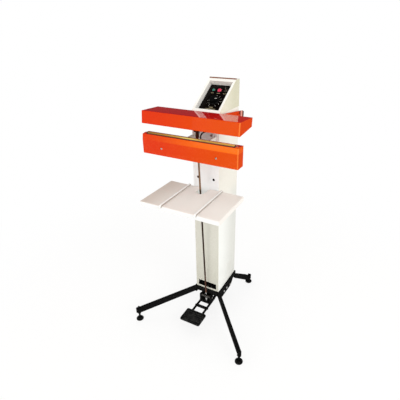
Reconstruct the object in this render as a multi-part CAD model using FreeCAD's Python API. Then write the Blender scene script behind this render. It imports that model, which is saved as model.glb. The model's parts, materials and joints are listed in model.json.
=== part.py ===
"""Floor-standing bag sealer worked by a foot pedal.

A sheet-metal column stands on a four-footed base. Two long jaws reach out in
front of it: the lower one carries the heating strip, the upper one hangs on a
yoke that straddles the column and turns on a shaft at the back of it. The pedal
pulls the upper jaw down through a long rod, and a spring at the rear opens it.

Every size is in millimetres. X runs to the right, Y to the rear, Z up. Pieces
are drawn about the middle of the column and moved as a whole at the end, so
that the origin lies on the floor, midway between the front and rear feet.
"""
import FreeCAD, Part
import math
import os

from FreeCAD import Vector

# Column
column_width = 130.0
column_depth = 198.0
column_bottom = 143.0
column_top = 1062.0
column_sheet = 1.5
column_corner = 3.0
foot_plate_thick = 6.0
slot_width = 103.0
slot_height = 34.0
slot_rise = 9.0
panel_screw_spacing = 78.0
panel_screw_height = 772.0
panel_screw_diameter = 10.0
panel_screw_shank = 5.0
panel_screw_head = 3.0
panel_screw_reach = 8.0
louvre_count = 5
louvre_pitch = 14.0
louvre_length = 60.0
louvre_height = 4.0
louvre_start = 190.0
louvre_middle = 20.0
cover_flange = 16.0
tie_bar_diameter = 12.0
tie_bar_setback = 34.0
tie_bar_rise = 15.3
ring_diameter = 30.0

# Transformer, gland and heater lead
core_width = 86.0
core_depth = 44.0
core_height = 72.0
core_y = 40.0
core_limb = 14.0
window_width = 16.0
window_height = 42.0
coil_overhang = 14.0
coil_corner = 6.0
coil_play = 0.5
gland_rise = 62.0
gland_thread = 16.0
gland_neck_length = 12.0
gland_nut_width = 22.0
gland_nut_height = 7.0
gland_cap_diameter = 20.0
gland_mouth_diameter = 14.0
gland_cap_length = 14.0
gland_bore_diameter = 7.5
lead_x = 36.0
lead_start_z = 1000.0
lead_end_z = 962.0
lead_diameter = 5.5
lead_straight = 34.0
lead_bend_share = 0.45
grommet_diameter = 14.0
grommet_rim = 2.5
grommet_flange = 3.0
grommet_grip = 2.0

# Base frame, legs and feet
bar_thick = 6.0
bar_height = 29.0
frame_margin = 3.0
frame_rear = 109.0
gusset_thick = 5.0
gusset_drop = 17.0
gusset_nose_height = 3.0
gusset_nose_length = 6.0
gusset_toe = 8.0
gusset_heel = 34.0
gusset_heel_rise = 12.0
gusset_end = 44.0
leg_width = 15.0
leg_height = 27.0
leg_overlap = 8.0
leg_round_share = 0.48
front_foot_x = 282.0
front_foot_y = 322.0
rear_foot_x = 111.0
rear_foot_y = 210.0
front_leg_end_top = 74.0
rear_leg_start_top = 118.0
rear_leg_end_top = 47.0
pad_diameter = 37.0
pad_height = 12.0
pad_chamfer = 1.5
pad_rim_height = 4.2
pad_shoulder_height = 8.0
stud_diameter = 10.0
stud_chamfer = 1.0
stud_above_leg = 8.0
foot_nut_height = 7.0
foot_nut_width = 17.0
gusset_bolt_diameter = 12.0
gusset_bolt_spacing = 31.0
gusset_bolt_start = 50.0
gusset_bolt_rise = 6.0
gusset_head_height = 5.0
gusset_nut_height = 6.0
bolt_nut_width = 13.0
head_taper = 0.6

# Control box
box_lip_height = 9.0
box_height = 118.0
box_top_front = 63.5
box_wall = 2.0
box_edge = 2.0
box_rear_edge = 3.0
recess_half_width = 55.0
recess_start = 12.0
recess_length = 166.0
recess_depth = 24.0
panel_thick = 1.5
knob_diameter = 38.0
knob_height = 17.0
knob_skirt_diameter = 44.0
knob_skirt_height = 4.0
knob_taper = 1.5
knob_flutes = 12
flute_diameter = 6.0
flute_offset = 1.6
knob_below_lamps = 62.0
knob_shaft_diameter = 6.0
knob_shaft_depth = 12.0
knob_bore_depth = 12.0
lamp_setback = 34.0
red_lamp_diameter = 21.0
red_lamp_bore = 12.0
green_lamp_diameter = 15.0
green_lamp_bore = 10.0
green_lamp_x = -29.0
lamp_neck_length = 12.0
lamp_bezel_height = 2.0
lens_inset = 1.5
lens_rise_share = 0.28
neck_play = 0.5
switch_x = 30.0
switch_bore = 12.0
switch_body_width = 14.0
switch_body_length = 24.0
switch_body_depth = 20.0
switch_bush_height = 6.0
switch_nut_width = 15.0
switch_nut_height = 2.5
mouth_low_radius = 1.2
mouth_high_radius = 5.0
mouth_height = 10.0
mouth_depth = 3.0
lever_length = 17.0
lever_diameter = 5.0
lever_root_radius = 1.6
lever_ball_share = 0.8
lever_tip_share = 0.4
lever_pivot_depth = 2.0
switch_throw = 11.0
board_width = 84.0
board_length = 76.0
board_thick = 1.6
board_gap = 16.0
board_post_diameter = 6.0
board_post_inset = 6.0
board_margin = 8.0
timer_control_diameter = 24.0
relay_width = 20.0
relay_length = 28.0
relay_height = 16.0
relay_below_knob = 20.0
terminal_width = 32.0
terminal_length = 10.0
terminal_height = 10.0

# Lower jaw and heating bar
lower_front = 245.0
lower_back = 200.0
lower_bottom = 905.0
lower_bend = 964.5
lower_top = 987.0
lower_slant = 4.0
jaw_sheet = 2.0
seal_length = 400.0
seal_y = 228.0
heater_width = 14.0
heater_height = 6.0
cover_film = 0.8
end_block_length = 15.0
end_block_play = 0.5
end_block_height = 2.5
clamp_screw_diameter = 8.0
clamp_screw_height = 1.5
jaw_lip = 14.0
front_screw_spacing = 250.0
front_screw_height = 936.0
front_screw_diameter = 5.0
front_screw_reach = 10.0
front_head_diameter = 9.0
front_head_height = 2.6
support_spacing = 100.0
support_thick = 6.0
support_bottom = 915.0
support_top = 972.0
support_clip_height = 8.0
support_clip_length = 12.0
support_flange_rise = 12.0
support_flange_width = 22.0
support_flange_thick = 5.0
support_bolt_inset = 10.0
support_bolt_x = 14.0
support_nut_height = 5.5
wall_bolt_inset = 26.0
wall_nut_width = 11.0
wall_nut_height = 5.0
mount_plate_thick = 5.0
mount_plate_width = 120.0
mount_plate_height = 84.0

# Upper jaw, drawn closed and then turned open about the yoke shaft
jaw_pivot_y = 75.0
jaw_pivot_z = 1019.0
open_angle = 7.0
cover_front = 239.0
cover_back = 126.0
cover_bottom = 991.0
cover_front_top = 1043.0
cover_back_top = 1051.0
cover_back_bottom = 1016.0
cover_corner = 2.5
press_bar_height = 30.0
press_bar_wall = 2.5
press_bar_overhang = 8.0
silicone_width = 12.0
silicone_height = 6.0
closed_gap = 0.1
yoke_thick = 4.0
yoke_height = 44.0
yoke_above_pivot = 24.0
yoke_side_gap = 2.0
yoke_tail = 156.0
yoke_bend = 14.0
tail_round = 30.0
yoke_web_height = 34.0
yoke_shaft_diameter = 16.0
yoke_shaft_end = 1.5
shaft_cap_thick = 5.0
shaft_cap_rim = 4.5
tie_front = 190.0
tie_back = 152.0
tie_height = 26.0
tie_sheet = 4.0
lug_thick = 5.0
lug_width = 20.0
lug_play = 1.0
pin_end = 1.0
pin_head_height = 3.0
pin_head_rim = 2.5

# Pull rod
rod_diameter = 8.0
rod_top_y = 168.0
rod_top_z = 1012.0
rod_bottom_y = 113.0
rod_bottom_z = 103.0
eye_diameter = 20.0
eye_thick = 10.0
eye_pin_diameter = 8.0
socket_diameter = 14.0
socket_length = 34.0
eye_flat_share = 0.62
rod_seat = 14.0
trunnion_diameter = 16.0
trunnion_play = 1.0
journal_reach = 3.0
journal_diameter = 10.0
journal_play = 0.5
rod_end_below = 30.0
rod_nut_width = 13.0
rod_nut_height = 6.5
rod_nut_gap = 0.5

# Pedal
pedal_pivot_y = 30.0
pedal_pivot_z = 101.0
pedal_shaft_diameter = 12.0
pedal_shaft_end = 2.0
pedal_bar_outer = 33.5
pedal_bar_width = 9.0
pedal_bar_height = 8.0
pedal_bar_top = 74.0
pedal_knee_y = -84.0
pedal_boss_rim = 6.0
pedal_ear_rim = 5.0
pedal_bar_setback = 22.0
web_gap = 5.0
web_thick = 4.0
web_foot_length = 22.0
web_below_rod = 4.0
pad_half_width = 54.0
pad_front = 290.0
pad_back = 211.0
pad_plate_thick = 3.0
tread_thick = 4.0
tread_ribs = 7
tread_groove_width = 3.0
tread_groove_depth = 1.8
tread_border = 6.0
pad_corner = 8.0
rung_y = 163.0
rung_diameter = 11.0
rung_screw_diameter = 5.0
rung_head_diameter = 12.0
rung_head_height = 4.0

# Work table
table_width = 375.0
table_front = 339.0
table_gap = 5.0
table_top = 725.0
table_sheet = 2.0
table_flange = 20.0
table_bend = 5.0
notch_width = 44.0
notch_front = 168.0
guide_x = 82.0
guide_width = 13.0
guide_height = 7.0
bracket_x = 45.0
bracket_thick = 4.0
bracket_reach = 150.0
bracket_drop = 70.0
bracket_toe = 16.0
bracket_tip = 12.0
bracket_shelf_width = 18.0
bracket_shelf_gap = 1.0
bracket_flange_width = 16.0
bracket_flange_gap = 8.0
bolt_diameter = 8.0
bolt_inset = 10.0
bolt_head_height = 5.5
bolt_nut_height = 6.5
upper_bolt_drop = 26.0
lower_bolt_rise = 14.0

# Return spring
spring_diameter = 18.0
spring_wire = 3.0
hook_radius = 6.0
hook_sides = 8
hook_hole_diameter = 6.0
hook_play = 1.05
spring_y = 138.0
spring_anchor_z = 875.0
spring_lug_z = 1002.0
ear_thick = 4.0
ear_width = 12.0
anchor_width = 30.0
anchor_thick = 3.0
anchor_above = 3.0
anchor_below = 29.0
anchor_shelf_drop = 17.0
anchor_shelf_reach = 10.0
anchor_shelf_corner = 5.0

# Fits
running_clearance = 0.05
hole_clearance = 0.25
seat_gap = 0.3


half_width = column_width / 2.0
frame_half_width = half_width + frame_margin
box_top = column_top + box_height
jaw_length = seal_length + 2 * (end_block_length + end_block_play + jaw_sheet)
press_bar_width = 2 * (cover_front - jaw_sheet - seal_y)
half_depth = column_depth / 2.0
column_shift = (front_foot_y - rear_foot_y) / 2.0
frame_top = column_bottom - foot_plate_thick
frame_bottom = frame_top - bar_height
frame_front = half_depth - 2.0
hook_wire = spring_wire / 2 / math.cos(math.pi / hook_sides)
lamp_row = recess_start + recess_length - lamp_setback
knob_position = lamp_row - knob_below_lamps
gland_z = column_bottom + gland_rise
nodes = {}


def block(x0, x1, y0, y1, z0, z1):
    """A box between two corners."""
    return Part.makeBox(x1 - x0, y1 - y0, z1 - z0, Vector(x0, y0, z0))


def rod(start, end, diameter):
    """A round bar from one point to another."""
    start = Vector(*start)
    run = Vector(*end) - start
    return Part.makeCylinder(diameter / 2.0, run.Length, start, run)


def outline(points):
    """A flat face in the YZ plane at X = 0 from (y, z) corners."""
    corners = [Vector(0, y, z) for y, z in points]
    return Part.Face(Part.makePolygon(corners + corners[:1]))


def side_plate(points, x0, x1):
    """A plate cut to a side-view outline, from x0 to x1."""
    face = outline(points)
    face.translate(Vector(x0, 0, 0))
    return face.extrude(Vector(x1 - x0, 0, 0))


def rounded(shape, radius, picks):
    """Rounds the edges that the test picks."""
    edges = [edge for edge in shape.Edges if picks(edge)]
    return shape.makeFillet(radius, edges)


def along(axis):
    """A test for straight edges that run along one axis."""
    def picks(edge):
        first, last = edge.Vertexes[0].Point, edge.Vertexes[-1].Point
        run = last - first
        return abs(run.Length - abs(run[axis])) < 1e-6 and run.Length > 1e-6
    return picks


def hexagon_nut(centre, direction, width, height, bore):
    """A hexagonal nut, its lower face centred on the point."""
    radius = width / 2.0 / math.cos(math.pi / 6)
    corners = []
    for k in range(6):
        turn = k * math.pi / 3
        corners.append(Vector(radius * math.cos(turn), radius * math.sin(turn), 0))
    nut = Part.Face(Part.makePolygon(corners + corners[:1])).extrude(Vector(0, 0, height))
    if bore > 0:
        nut = nut.cut(Part.makeCylinder(bore / 2.0, height, Vector(0, 0, 0)))
    turn = FreeCAD.Rotation(Vector(0, 0, 1), Vector(*direction))
    nut.Placement = FreeCAD.Placement(Vector(*centre), turn)
    return nut


def pan_head(centre, direction, diameter, height):
    """A low screw head with sloping sides."""
    head = Part.makeCone(diameter / 2, diameter * head_taper / 2, height)
    turn = FreeCAD.Rotation(Vector(0, 0, 1), Vector(*direction))
    head.Placement = FreeCAD.Placement(Vector(*centre), turn)
    return head


def dome(centre, direction, diameter, height):
    """A part of a ball on a flat foot."""
    radius = (diameter * diameter / 4 + height * height) / (2 * height)
    ball = Part.makeSphere(radius)
    ball.translate(Vector(0, 0, height - radius))
    lens = ball.common(Part.makeCylinder(diameter, 2 * height, Vector(0, 0, 0)))
    turn = FreeCAD.Rotation(Vector(0, 0, 1), Vector(*direction))
    lens.Placement = FreeCAD.Placement(Vector(*centre), turn)
    return lens


def joined(shapes):
    """Fuses touching solids and drops the seams between them."""
    whole = shapes[0].multiFuse(shapes[1:])
    return whole.removeSplitter()


def keep(name, shape):
    """Stores one finished piece under its node name."""
    nodes[name] = shape


def keep_set(name, shapes):
    """Stores several separate solids of one kind as a node."""
    nodes[name] = Part.makeCompound(shapes)


def open_jaw(shape):
    """Turns a piece of the upper jaw from closed to open."""
    turned = shape.copy()
    turned.rotate(Vector(0, jaw_pivot_y, jaw_pivot_z), Vector(1, 0, 0), -open_angle)
    return turned


def closed_from_open(y, z):
    """Where a point of the open jaw lies when the jaw is closed."""
    turn = math.radians(open_angle)
    dy, dz = y - jaw_pivot_y, z - jaw_pivot_z
    return (jaw_pivot_y + dy * math.cos(turn) - dz * math.sin(turn),
            jaw_pivot_z + dy * math.sin(turn) + dz * math.cos(turn))


# Base

def make_base():
    """The bent frame of flat bar, its gussets and the pedal's pivot shaft."""
    outer = block(-frame_half_width, frame_half_width, -frame_front, frame_rear,
                  frame_bottom, frame_top)
    inner = block(-frame_half_width + bar_thick, frame_half_width - bar_thick,
                  -frame_front + bar_thick, frame_rear - bar_thick,
                  frame_bottom - 1, frame_top + 1)
    frame = outer.cut(inner)
    first_bolt = -frame_front + gusset_bolt_start
    bolt_z = frame_bottom + gusset_bolt_rise
    bolts = []
    gussets = []
    for side in (-1, 1):
        plate = gusset(side)
        for k in range(2):
            y = first_bolt + k * gusset_bolt_spacing
            reach = side * (frame_half_width + gusset_thick)
            inside = side * (frame_half_width - bar_thick)
            hole = rod((inside - side, y, bolt_z), (reach + side, y, bolt_z),
                       bolt_diameter + hole_clearance)
            plate = plate.cut(hole)
            frame = frame.cut(hole)
            shank = rod((inside, y, bolt_z), (reach, y, bolt_z), bolt_diameter)
            head = pan_head((reach, y, bolt_z), (side, 0, 0), gusset_bolt_diameter,
                            gusset_head_height)
            nut = hexagon_nut((inside, y, bolt_z), (-side, 0, 0), bolt_nut_width,
                              gusset_nut_height, 0)
            bolts.append(joined([shank, head, nut]))
        gussets.append(plate)
    keep("base_frame", frame)
    keep_set("gussets", gussets)
    keep_set("gusset_bolts", bolts)
    reach = frame_half_width + gusset_thick + pedal_shaft_end
    shaft = rod((-reach, pedal_pivot_y, pedal_pivot_z), (reach, pedal_pivot_y, pedal_pivot_z),
                pedal_shaft_diameter)
    keep("pedal_shaft", shaft)


def gusset(side):
    """The plate that stiffens the corner and carries the pedal's shaft."""
    low = frame_bottom - gusset_drop
    points = [(-frame_front, frame_top), (-frame_front, low + gusset_nose_height),
              (-frame_front + gusset_nose_length, low), (pedal_pivot_y + gusset_toe, low),
              (pedal_pivot_y + gusset_heel, frame_bottom + gusset_heel_rise),
              (pedal_pivot_y + gusset_end, frame_top)]
    x0 = side * frame_half_width
    x1 = side * (frame_half_width + gusset_thick)
    plate = side_plate(points, min(x0, x1), max(x0, x1))
    bore = rod((x0 - side, pedal_pivot_y, pedal_pivot_z), (x1 + side, pedal_pivot_y, pedal_pivot_z),
               pedal_shaft_diameter)
    return plate.cut(bore)


def make_legs():
    """Four sloping legs of rectangular bar with their levelling feet."""
    feet = {
        "front_left": (-1, -1), "front_right": (1, -1),
        "rear_left": (-1, 1), "rear_right": (1, 1),
    }
    for name, (sx, sy) in feet.items():
        front = sy < 0
        foot_x = sx * (front_foot_x if front else rear_foot_x)
        foot_y = sy * (front_foot_y if front else rear_foot_y)
        start_y = leg_overlap - frame_front if front else frame_rear - leg_overlap
        start_x = sx * (frame_half_width - leg_overlap)
        start_top = frame_top if front else rear_leg_start_top
        end_top = front_leg_end_top if front else rear_leg_end_top
        leg = sloping_leg((start_x, start_y), start_top, (foot_x, foot_y), end_top)
        stud_hole = rod((foot_x, foot_y, 0), (foot_x, foot_y, end_top + 20),
                        stud_diameter + hole_clearance)
        keep("leg_" + name, leg.cut(stud_hole))
        seat = end_top - leg_height
        stud_top = end_top + stud_above_leg
        nut = hexagon_nut((foot_x, foot_y, seat - foot_nut_height), (0, 0, 1),
                          foot_nut_width, foot_nut_height, 0)
        keep("foot_" + name, joined([levelling_foot(foot_x, foot_y, stud_top), nut]))


def sloping_leg(start, start_top, end, end_top):
    """A bar whose section stands upright, cut to the frame's faces."""
    run_x, run_y = end[0] - start[0], end[1] - start[1]
    length = math.hypot(run_x, run_y)
    overhang = leg_width
    fall = (start_top - end_top) / length
    far = length + overhang
    flat = 2 * overhang
    profile = [(0, start_top), (length - flat / 2, start_top - fall * (length - flat / 2)),
               (length - flat / 4, end_top), (far, end_top), (far, end_top - leg_height),
               (length - flat / 2, end_top - leg_height), (0, start_top - leg_height)]
    corners = [Vector(a, -leg_width / 2, z) for a, z in profile]
    bar = Part.Face(Part.makePolygon(corners + corners[:1])).extrude(Vector(0, leg_width, 0))
    end_edges = [e for e in bar.Edges if along(2)(e) and abs(e.Vertexes[0].X - far) < 1e-6]
    bar = bar.makeFillet(leg_width * leg_round_share, end_edges)
    turn = FreeCAD.Rotation(Vector(1, 0, 0), Vector(run_x, run_y, 0))
    bar.Placement = FreeCAD.Placement(Vector(start[0], start[1], 0), turn)
    side = frame_half_width + (gusset_thick if start[1] < 0 else 0)
    body = block(-side, side, -frame_front, frame_rear,
                 frame_bottom - gusset_drop - leg_height, frame_top + leg_height)
    return bar.cut(body)


def levelling_foot(x, y, top):
    """A rubber pad with sloping shoulders on a threaded stud."""
    radius, stud = pad_diameter / 2.0, stud_diameter / 2.0
    profile = [(0, 0), (radius - pad_chamfer, 0), (radius, pad_chamfer), (radius, pad_rim_height),
               (radius - pad_chamfer, pad_shoulder_height), (stud_diameter, pad_height),
               (stud, pad_height), (stud, top - stud_chamfer), (stud - stud_chamfer, top), (0, top)]
    corners = [Vector(r, 0, z) for r, z in profile]
    foot = Part.Face(Part.makePolygon(corners + corners[:1]))
    foot = foot.revolve(Vector(0, 0, 0), Vector(0, 0, 1), 360)
    foot.translate(Vector(x, y, 0))
    return foot


# Column

def make_column():
    """The folded column, its rear cover, foot plate, tie bar and screws."""
    outer = block(-half_width, half_width, -half_depth, half_depth, column_bottom, column_top)
    outer = rounded(outer, column_corner, along(2))
    t = column_sheet
    inner = block(-half_width + t, half_width - t, -half_depth + t, half_depth + 1,
                  column_bottom - 1, column_top + 1)
    shell = outer.cut(inner)
    low = column_bottom + slot_rise
    shell = shell.cut(block(-slot_width / 2, slot_width / 2, -half_depth - 1, -half_depth + 4,
                            low, low + slot_height))
    screws = []
    for side in (-1, 1):
        x = side * panel_screw_spacing / 2
        shell = shell.cut(rod((x, -half_depth - 1, panel_screw_height),
                              (x, -half_depth + 4, panel_screw_height),
                              panel_screw_shank + hole_clearance))
        head = pan_head((x, -half_depth, panel_screw_height), (0, -1, 0),
                        panel_screw_diameter, panel_screw_head)
        shank = rod((x, -half_depth, panel_screw_height),
                    (x, -half_depth + panel_screw_reach, panel_screw_height), panel_screw_shank)
        screws.append(joined([head, shank]))
        for k in range(louvre_count):
            z = louvre_start + k * louvre_pitch
            wall = side * half_width
            inside = wall - side * 4
            shell = shell.cut(block(min(wall, inside), max(wall, inside),
                                    louvre_middle - louvre_length / 2,
                                    louvre_middle + louvre_length / 2, z, z + louvre_height))
    rings = []
    for side in (-1, 1):
        x = side * half_width
        rings.append(rod((x - side * column_sheet, jaw_pivot_y, jaw_pivot_z),
                         (x + side * (yoke_side_gap - seat_gap), jaw_pivot_y, jaw_pivot_z),
                         ring_diameter))
    shell = joined([shell] + rings)
    reach = half_width + yoke_side_gap
    pivot_bore = rod((-reach, jaw_pivot_y, jaw_pivot_z), (reach, jaw_pivot_y, jaw_pivot_z),
                     yoke_shaft_diameter)
    shell = shell.cut(pivot_bore)
    lead_hole = rod((lead_x, -half_depth - 1, lead_start_z), (lead_x, -half_depth + 4, lead_start_z),
                    grommet_diameter)
    shell = shell.cut(lead_hole)
    keep("column_shell", shell)
    keep_set("column_screws", screws)

    cover = block(-half_width + t + seat_gap, half_width - t - seat_gap, half_depth - t, half_depth,
                  column_bottom, column_top)
    for side in (-1, 1):
        x1 = side * (half_width - t - seat_gap)
        x0 = x1 - side * t
        cover = cover.fuse(block(min(x0, x1), max(x0, x1), half_depth - cover_flange, half_depth - t,
                                 column_bottom, column_top))
    gland_hole = rod((0, half_depth - 5, gland_z), (0, half_depth + 1, gland_z), gland_thread)
    cover = cover.removeSplitter().cut(gland_hole)
    keep("column_back", cover)

    plate = block(-half_width, half_width, -frame_front, half_depth, frame_top, column_bottom)
    keep("foot_plate", plate)

    y = -half_depth + tie_bar_setback
    z = low + tie_bar_rise
    reach = half_width - t
    keep("tie_bar", rod((-reach, y, z), (reach, y, z), tie_bar_diameter))

    reach = half_width + yoke_side_gap + yoke_thick
    end = reach + yoke_shaft_end
    shaft = rod((-end, jaw_pivot_y, jaw_pivot_z), (end, jaw_pivot_y, jaw_pivot_z),
                yoke_shaft_diameter)
    ends = []
    for side in (-1, 1):
        x = side * (reach + seat_gap)
        ends.append(rod((x, jaw_pivot_y, jaw_pivot_z),
                        (x + side * shaft_cap_thick, jaw_pivot_y, jaw_pivot_z),
                        yoke_shaft_diameter + 2 * shaft_cap_rim))
    keep("yoke_shaft", joined([shaft] + ends))


def make_electrics():
    """The transformer and the cable gland of the mains inlet."""
    core = block(-core_width / 2, core_width / 2, core_y - core_depth / 2, core_y + core_depth / 2,
                 column_bottom, column_bottom + core_height)
    window_low = column_bottom + (core_height - window_height) / 2
    window_high = window_low + window_height
    for side in (-1, 1):
        x0 = side * core_limb
        x1 = side * (core_limb + window_width)
        core = core.cut(block(min(x0, x1), max(x0, x1), core_y - core_depth, core_y + core_depth,
                              window_low, window_high))
    coil_x = core_limb + window_width - coil_play
    coil_y = core_depth / 2 + coil_overhang
    coil = block(-coil_x, coil_x, core_y - coil_y, core_y + coil_y,
                 window_low + coil_play, window_high - coil_play)
    coil = rounded(coil, coil_corner, along(2))
    hole_x = core_limb + coil_play
    hole_y = core_depth / 2 + coil_play
    coil = coil.cut(block(-hole_x, hole_x, core_y - hole_y, core_y + hole_y,
                          window_low, window_high))
    keep_set("transformer", [core, coil])
    wall = half_depth
    neck = rod((0, wall - gland_neck_length, gland_z), (0, wall, gland_z),
               gland_thread - hole_clearance)
    collar = hexagon_nut((0, wall, gland_z), (0, 1, 0), gland_nut_width, gland_nut_height, 0)
    outer = wall + gland_nut_height
    cap = Part.makeCone(gland_cap_diameter / 2, gland_mouth_diameter / 2, gland_cap_length,
                        Vector(0, outer, gland_z), Vector(0, 1, 0))
    bore = rod((0, wall - gland_neck_length - 1, gland_z), (0, outer + gland_cap_length + 1, gland_z),
               gland_bore_diameter)
    keep("cable_gland", joined([neck, collar, cap]).cut(bore))


# Control box

slope_rise = box_top - (column_top + box_lip_height)
slope_run = box_top_front + half_depth - box_edge
slope_angle = math.degrees(math.atan2(slope_rise, slope_run))


def on_slope(shape):
    """Lays a piece drawn flat, Y up the slope and Z outwards, on the control slope."""
    placed = shape.copy()
    turn = FreeCAD.Rotation(Vector(1, 0, 0), slope_angle)
    start = Vector(0, -half_depth + box_edge, column_top + box_lip_height)
    placed.Placement = FreeCAD.Placement(start, turn).multiply(placed.Placement)
    return placed


def slope_cylinder(x, s, low, high, diameter):
    """A round post drawn flat at (x, s), between two heights."""
    return Part.makeCylinder(diameter / 2.0, high - low, Vector(x, s, low), Vector(0, 0, 1))


def make_control_box():
    """The sloping control box, its sunk panel and what is set in it."""
    front = -half_depth
    lip = column_top + box_lip_height
    profile = [(front, column_top), (front, lip - box_edge), (front + box_edge, lip),
               (box_top_front, box_top), (half_depth - box_rear_edge, box_top),
               (half_depth, box_top - box_rear_edge), (half_depth, column_top)]
    outer = side_plate(profile, -half_width, half_width)
    w = box_wall
    inset = [(front + w, column_top - 1), (front + w, lip - w - 1),
             (box_top_front + 0.4, box_top - w), (half_depth - w, box_top - w),
             (half_depth - w, column_top - 1)]
    cavity = side_plate(inset, -half_width + w, half_width - w)
    pan = block(-recess_half_width - w, recess_half_width + w, recess_start - w,
                recess_start + recess_length + w, -recess_depth - w, 5.0)
    recess = block(-recess_half_width, recess_half_width, recess_start,
                   recess_start + recess_length, -recess_depth, 5.0)
    pan, recess = on_slope(pan), on_slope(recess)
    housing = outer.cut(cavity.cut(pan)).cut(recess)
    floor = -recess_depth
    holes = [(0, knob_position, knob_shaft_diameter + 2.0), (0, lamp_row, red_lamp_bore),
             (green_lamp_x, lamp_row, green_lamp_bore), (switch_x, lamp_row, switch_bore)]
    for x, s, diameter in holes:
        housing = housing.cut(on_slope(slope_cylinder(x, s, floor - w - 1, floor + 1,
                                                      diameter + hole_clearance)))
    keep("control_box", housing)

    face = floor + panel_thick
    plate = block(-recess_half_width + seat_gap, recess_half_width - seat_gap,
                  recess_start + seat_gap, recess_start + recess_length - seat_gap, floor, face)
    for x, s, diameter in holes:
        plate = plate.cut(slope_cylinder(x, s, floor - 1, face + 1, diameter + hole_clearance))
    keep("control_panel", on_slope(plate))

    back = floor - w
    keep("timer_board", on_slope(timer_board(back)))
    shaft = slope_cylinder(0, knob_position, back - knob_shaft_depth, face + knob_bore_depth,
                           knob_shaft_diameter)
    keep_set("time_knob", [on_slope(fluted_knob(face + seat_gap)), on_slope(shaft)])

    keep("lamp_red", on_slope(lamp(0, face, back, red_lamp_diameter, red_lamp_bore)))
    keep("lamp_green", on_slope(lamp(green_lamp_x, face, back, green_lamp_diameter,
                                     green_lamp_bore)))
    make_switch(face, back)


def timer_board(back):
    """The timer's circuit board behind the panel, with its control, relay and posts."""
    face = back - board_gap
    under = face - board_thick
    board = block(-board_width / 2, board_width / 2, knob_position - board_length / 2,
                  knob_position + board_length / 2, under, face)
    control = slope_cylinder(0, knob_position, face, back, timer_control_diameter)
    parts = [board, control]
    for side in (-1, 1):
        for end in (-1, 1):
            x = side * (board_width / 2 - board_post_inset)
            s = knob_position + end * (board_length / 2 - board_post_inset)
            parts.append(slope_cylinder(x, s, face, back, board_post_diameter))
    edge = board_width / 2 - board_margin
    relay_start = knob_position - relay_below_knob
    parts.append(block(-edge, relay_width - edge, relay_start, relay_start + relay_length,
                       under - relay_height, under))
    terminal_start = knob_position - board_length / 2 + board_post_inset
    parts.append(block(edge - terminal_width, edge, terminal_start, terminal_start + terminal_length,
                       under - terminal_height, under))
    bore = slope_cylinder(0, knob_position, back - knob_shaft_depth - 1, back + 1,
                          knob_shaft_diameter + 2 * running_clearance)
    return joined(parts).cut(bore)


def fluted_knob(base):
    """A skirted knob with finger flutes, bored for its shaft."""
    radius = knob_diameter / 2
    grip_low = base + knob_skirt_height
    skirt = Part.makeCone(knob_skirt_diameter / 2, radius, knob_skirt_height,
                          Vector(0, knob_position, base), Vector(0, 0, 1))
    grip = Part.makeCone(radius, radius - knob_taper, knob_height - knob_skirt_height,
                         Vector(0, knob_position, grip_low), Vector(0, 0, 1))
    for k in range(knob_flutes):
        turn = 2 * math.pi * (k + 0.5) / knob_flutes
        x = (radius + flute_offset) * math.cos(turn)
        y = knob_position + (radius + flute_offset) * math.sin(turn)
        grip = grip.cut(slope_cylinder(x, y, grip_low, base + knob_height + 1, flute_diameter))
    knob = skirt.fuse(grip).removeSplitter()
    bore = slope_cylinder(0, knob_position, base - 1, base + knob_bore_depth, knob_shaft_diameter)
    return knob.cut(bore)


def lamp(x, face, back, diameter, bore):
    """An indicator lamp: a round lens on a bezel with a threaded neck."""
    body = slope_cylinder(x, lamp_row, back - lamp_neck_length, face, bore - neck_play)
    bezel = slope_cylinder(x, lamp_row, face, face + lamp_bezel_height, diameter)
    lens = dome((x, lamp_row, face + lamp_bezel_height), (0, 0, 1), diameter - 2 * lens_inset,
                diameter * lens_rise_share)
    return joined([body, bezel, lens])


def make_switch(face, back):
    """The mains switch: a threaded bush with its nut, and the lever in it."""
    body = block(switch_x - switch_body_width / 2, switch_x + switch_body_width / 2,
                 lamp_row - switch_body_length / 2, lamp_row + switch_body_length / 2,
                 back - switch_body_depth, back)
    thread = switch_bore - neck_play
    bush = slope_cylinder(switch_x, lamp_row, back, face + switch_bush_height, thread)
    nut = hexagon_nut((switch_x, lamp_row, face), (0, 0, 1), switch_nut_width,
                      switch_nut_height, thread)
    bush = joined([body, bush]).fuse(nut).removeSplitter()
    outwards = Vector(0, 0, 1)
    mouth = Part.makeCone(mouth_low_radius, mouth_high_radius, mouth_height,
                          Vector(switch_x, lamp_row, face - mouth_depth), outwards)
    pivot = Vector(switch_x, lamp_row, face - lever_pivot_depth)
    ball_radius = lever_diameter * lever_ball_share
    ball_seat = Part.makeSphere(ball_radius + seat_gap, pivot)
    keep("switch_body", on_slope(bush.cut(mouth).cut(ball_seat)))
    radius = lever_diameter / 2
    lever = Part.makeCone(lever_root_radius, radius, lever_length, pivot, outwards)
    tip = Part.makeCone(radius, radius * head_taper, lever_diameter * lever_tip_share,
                        pivot + outwards * lever_length, outwards)
    ball = Part.makeSphere(ball_radius, pivot)
    lever = joined([lever, tip, ball])
    lever.rotate(pivot, Vector(1, 0, 0), -switch_throw)
    keep("switch_lever", on_slope(lever))


# Lower jaw

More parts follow.
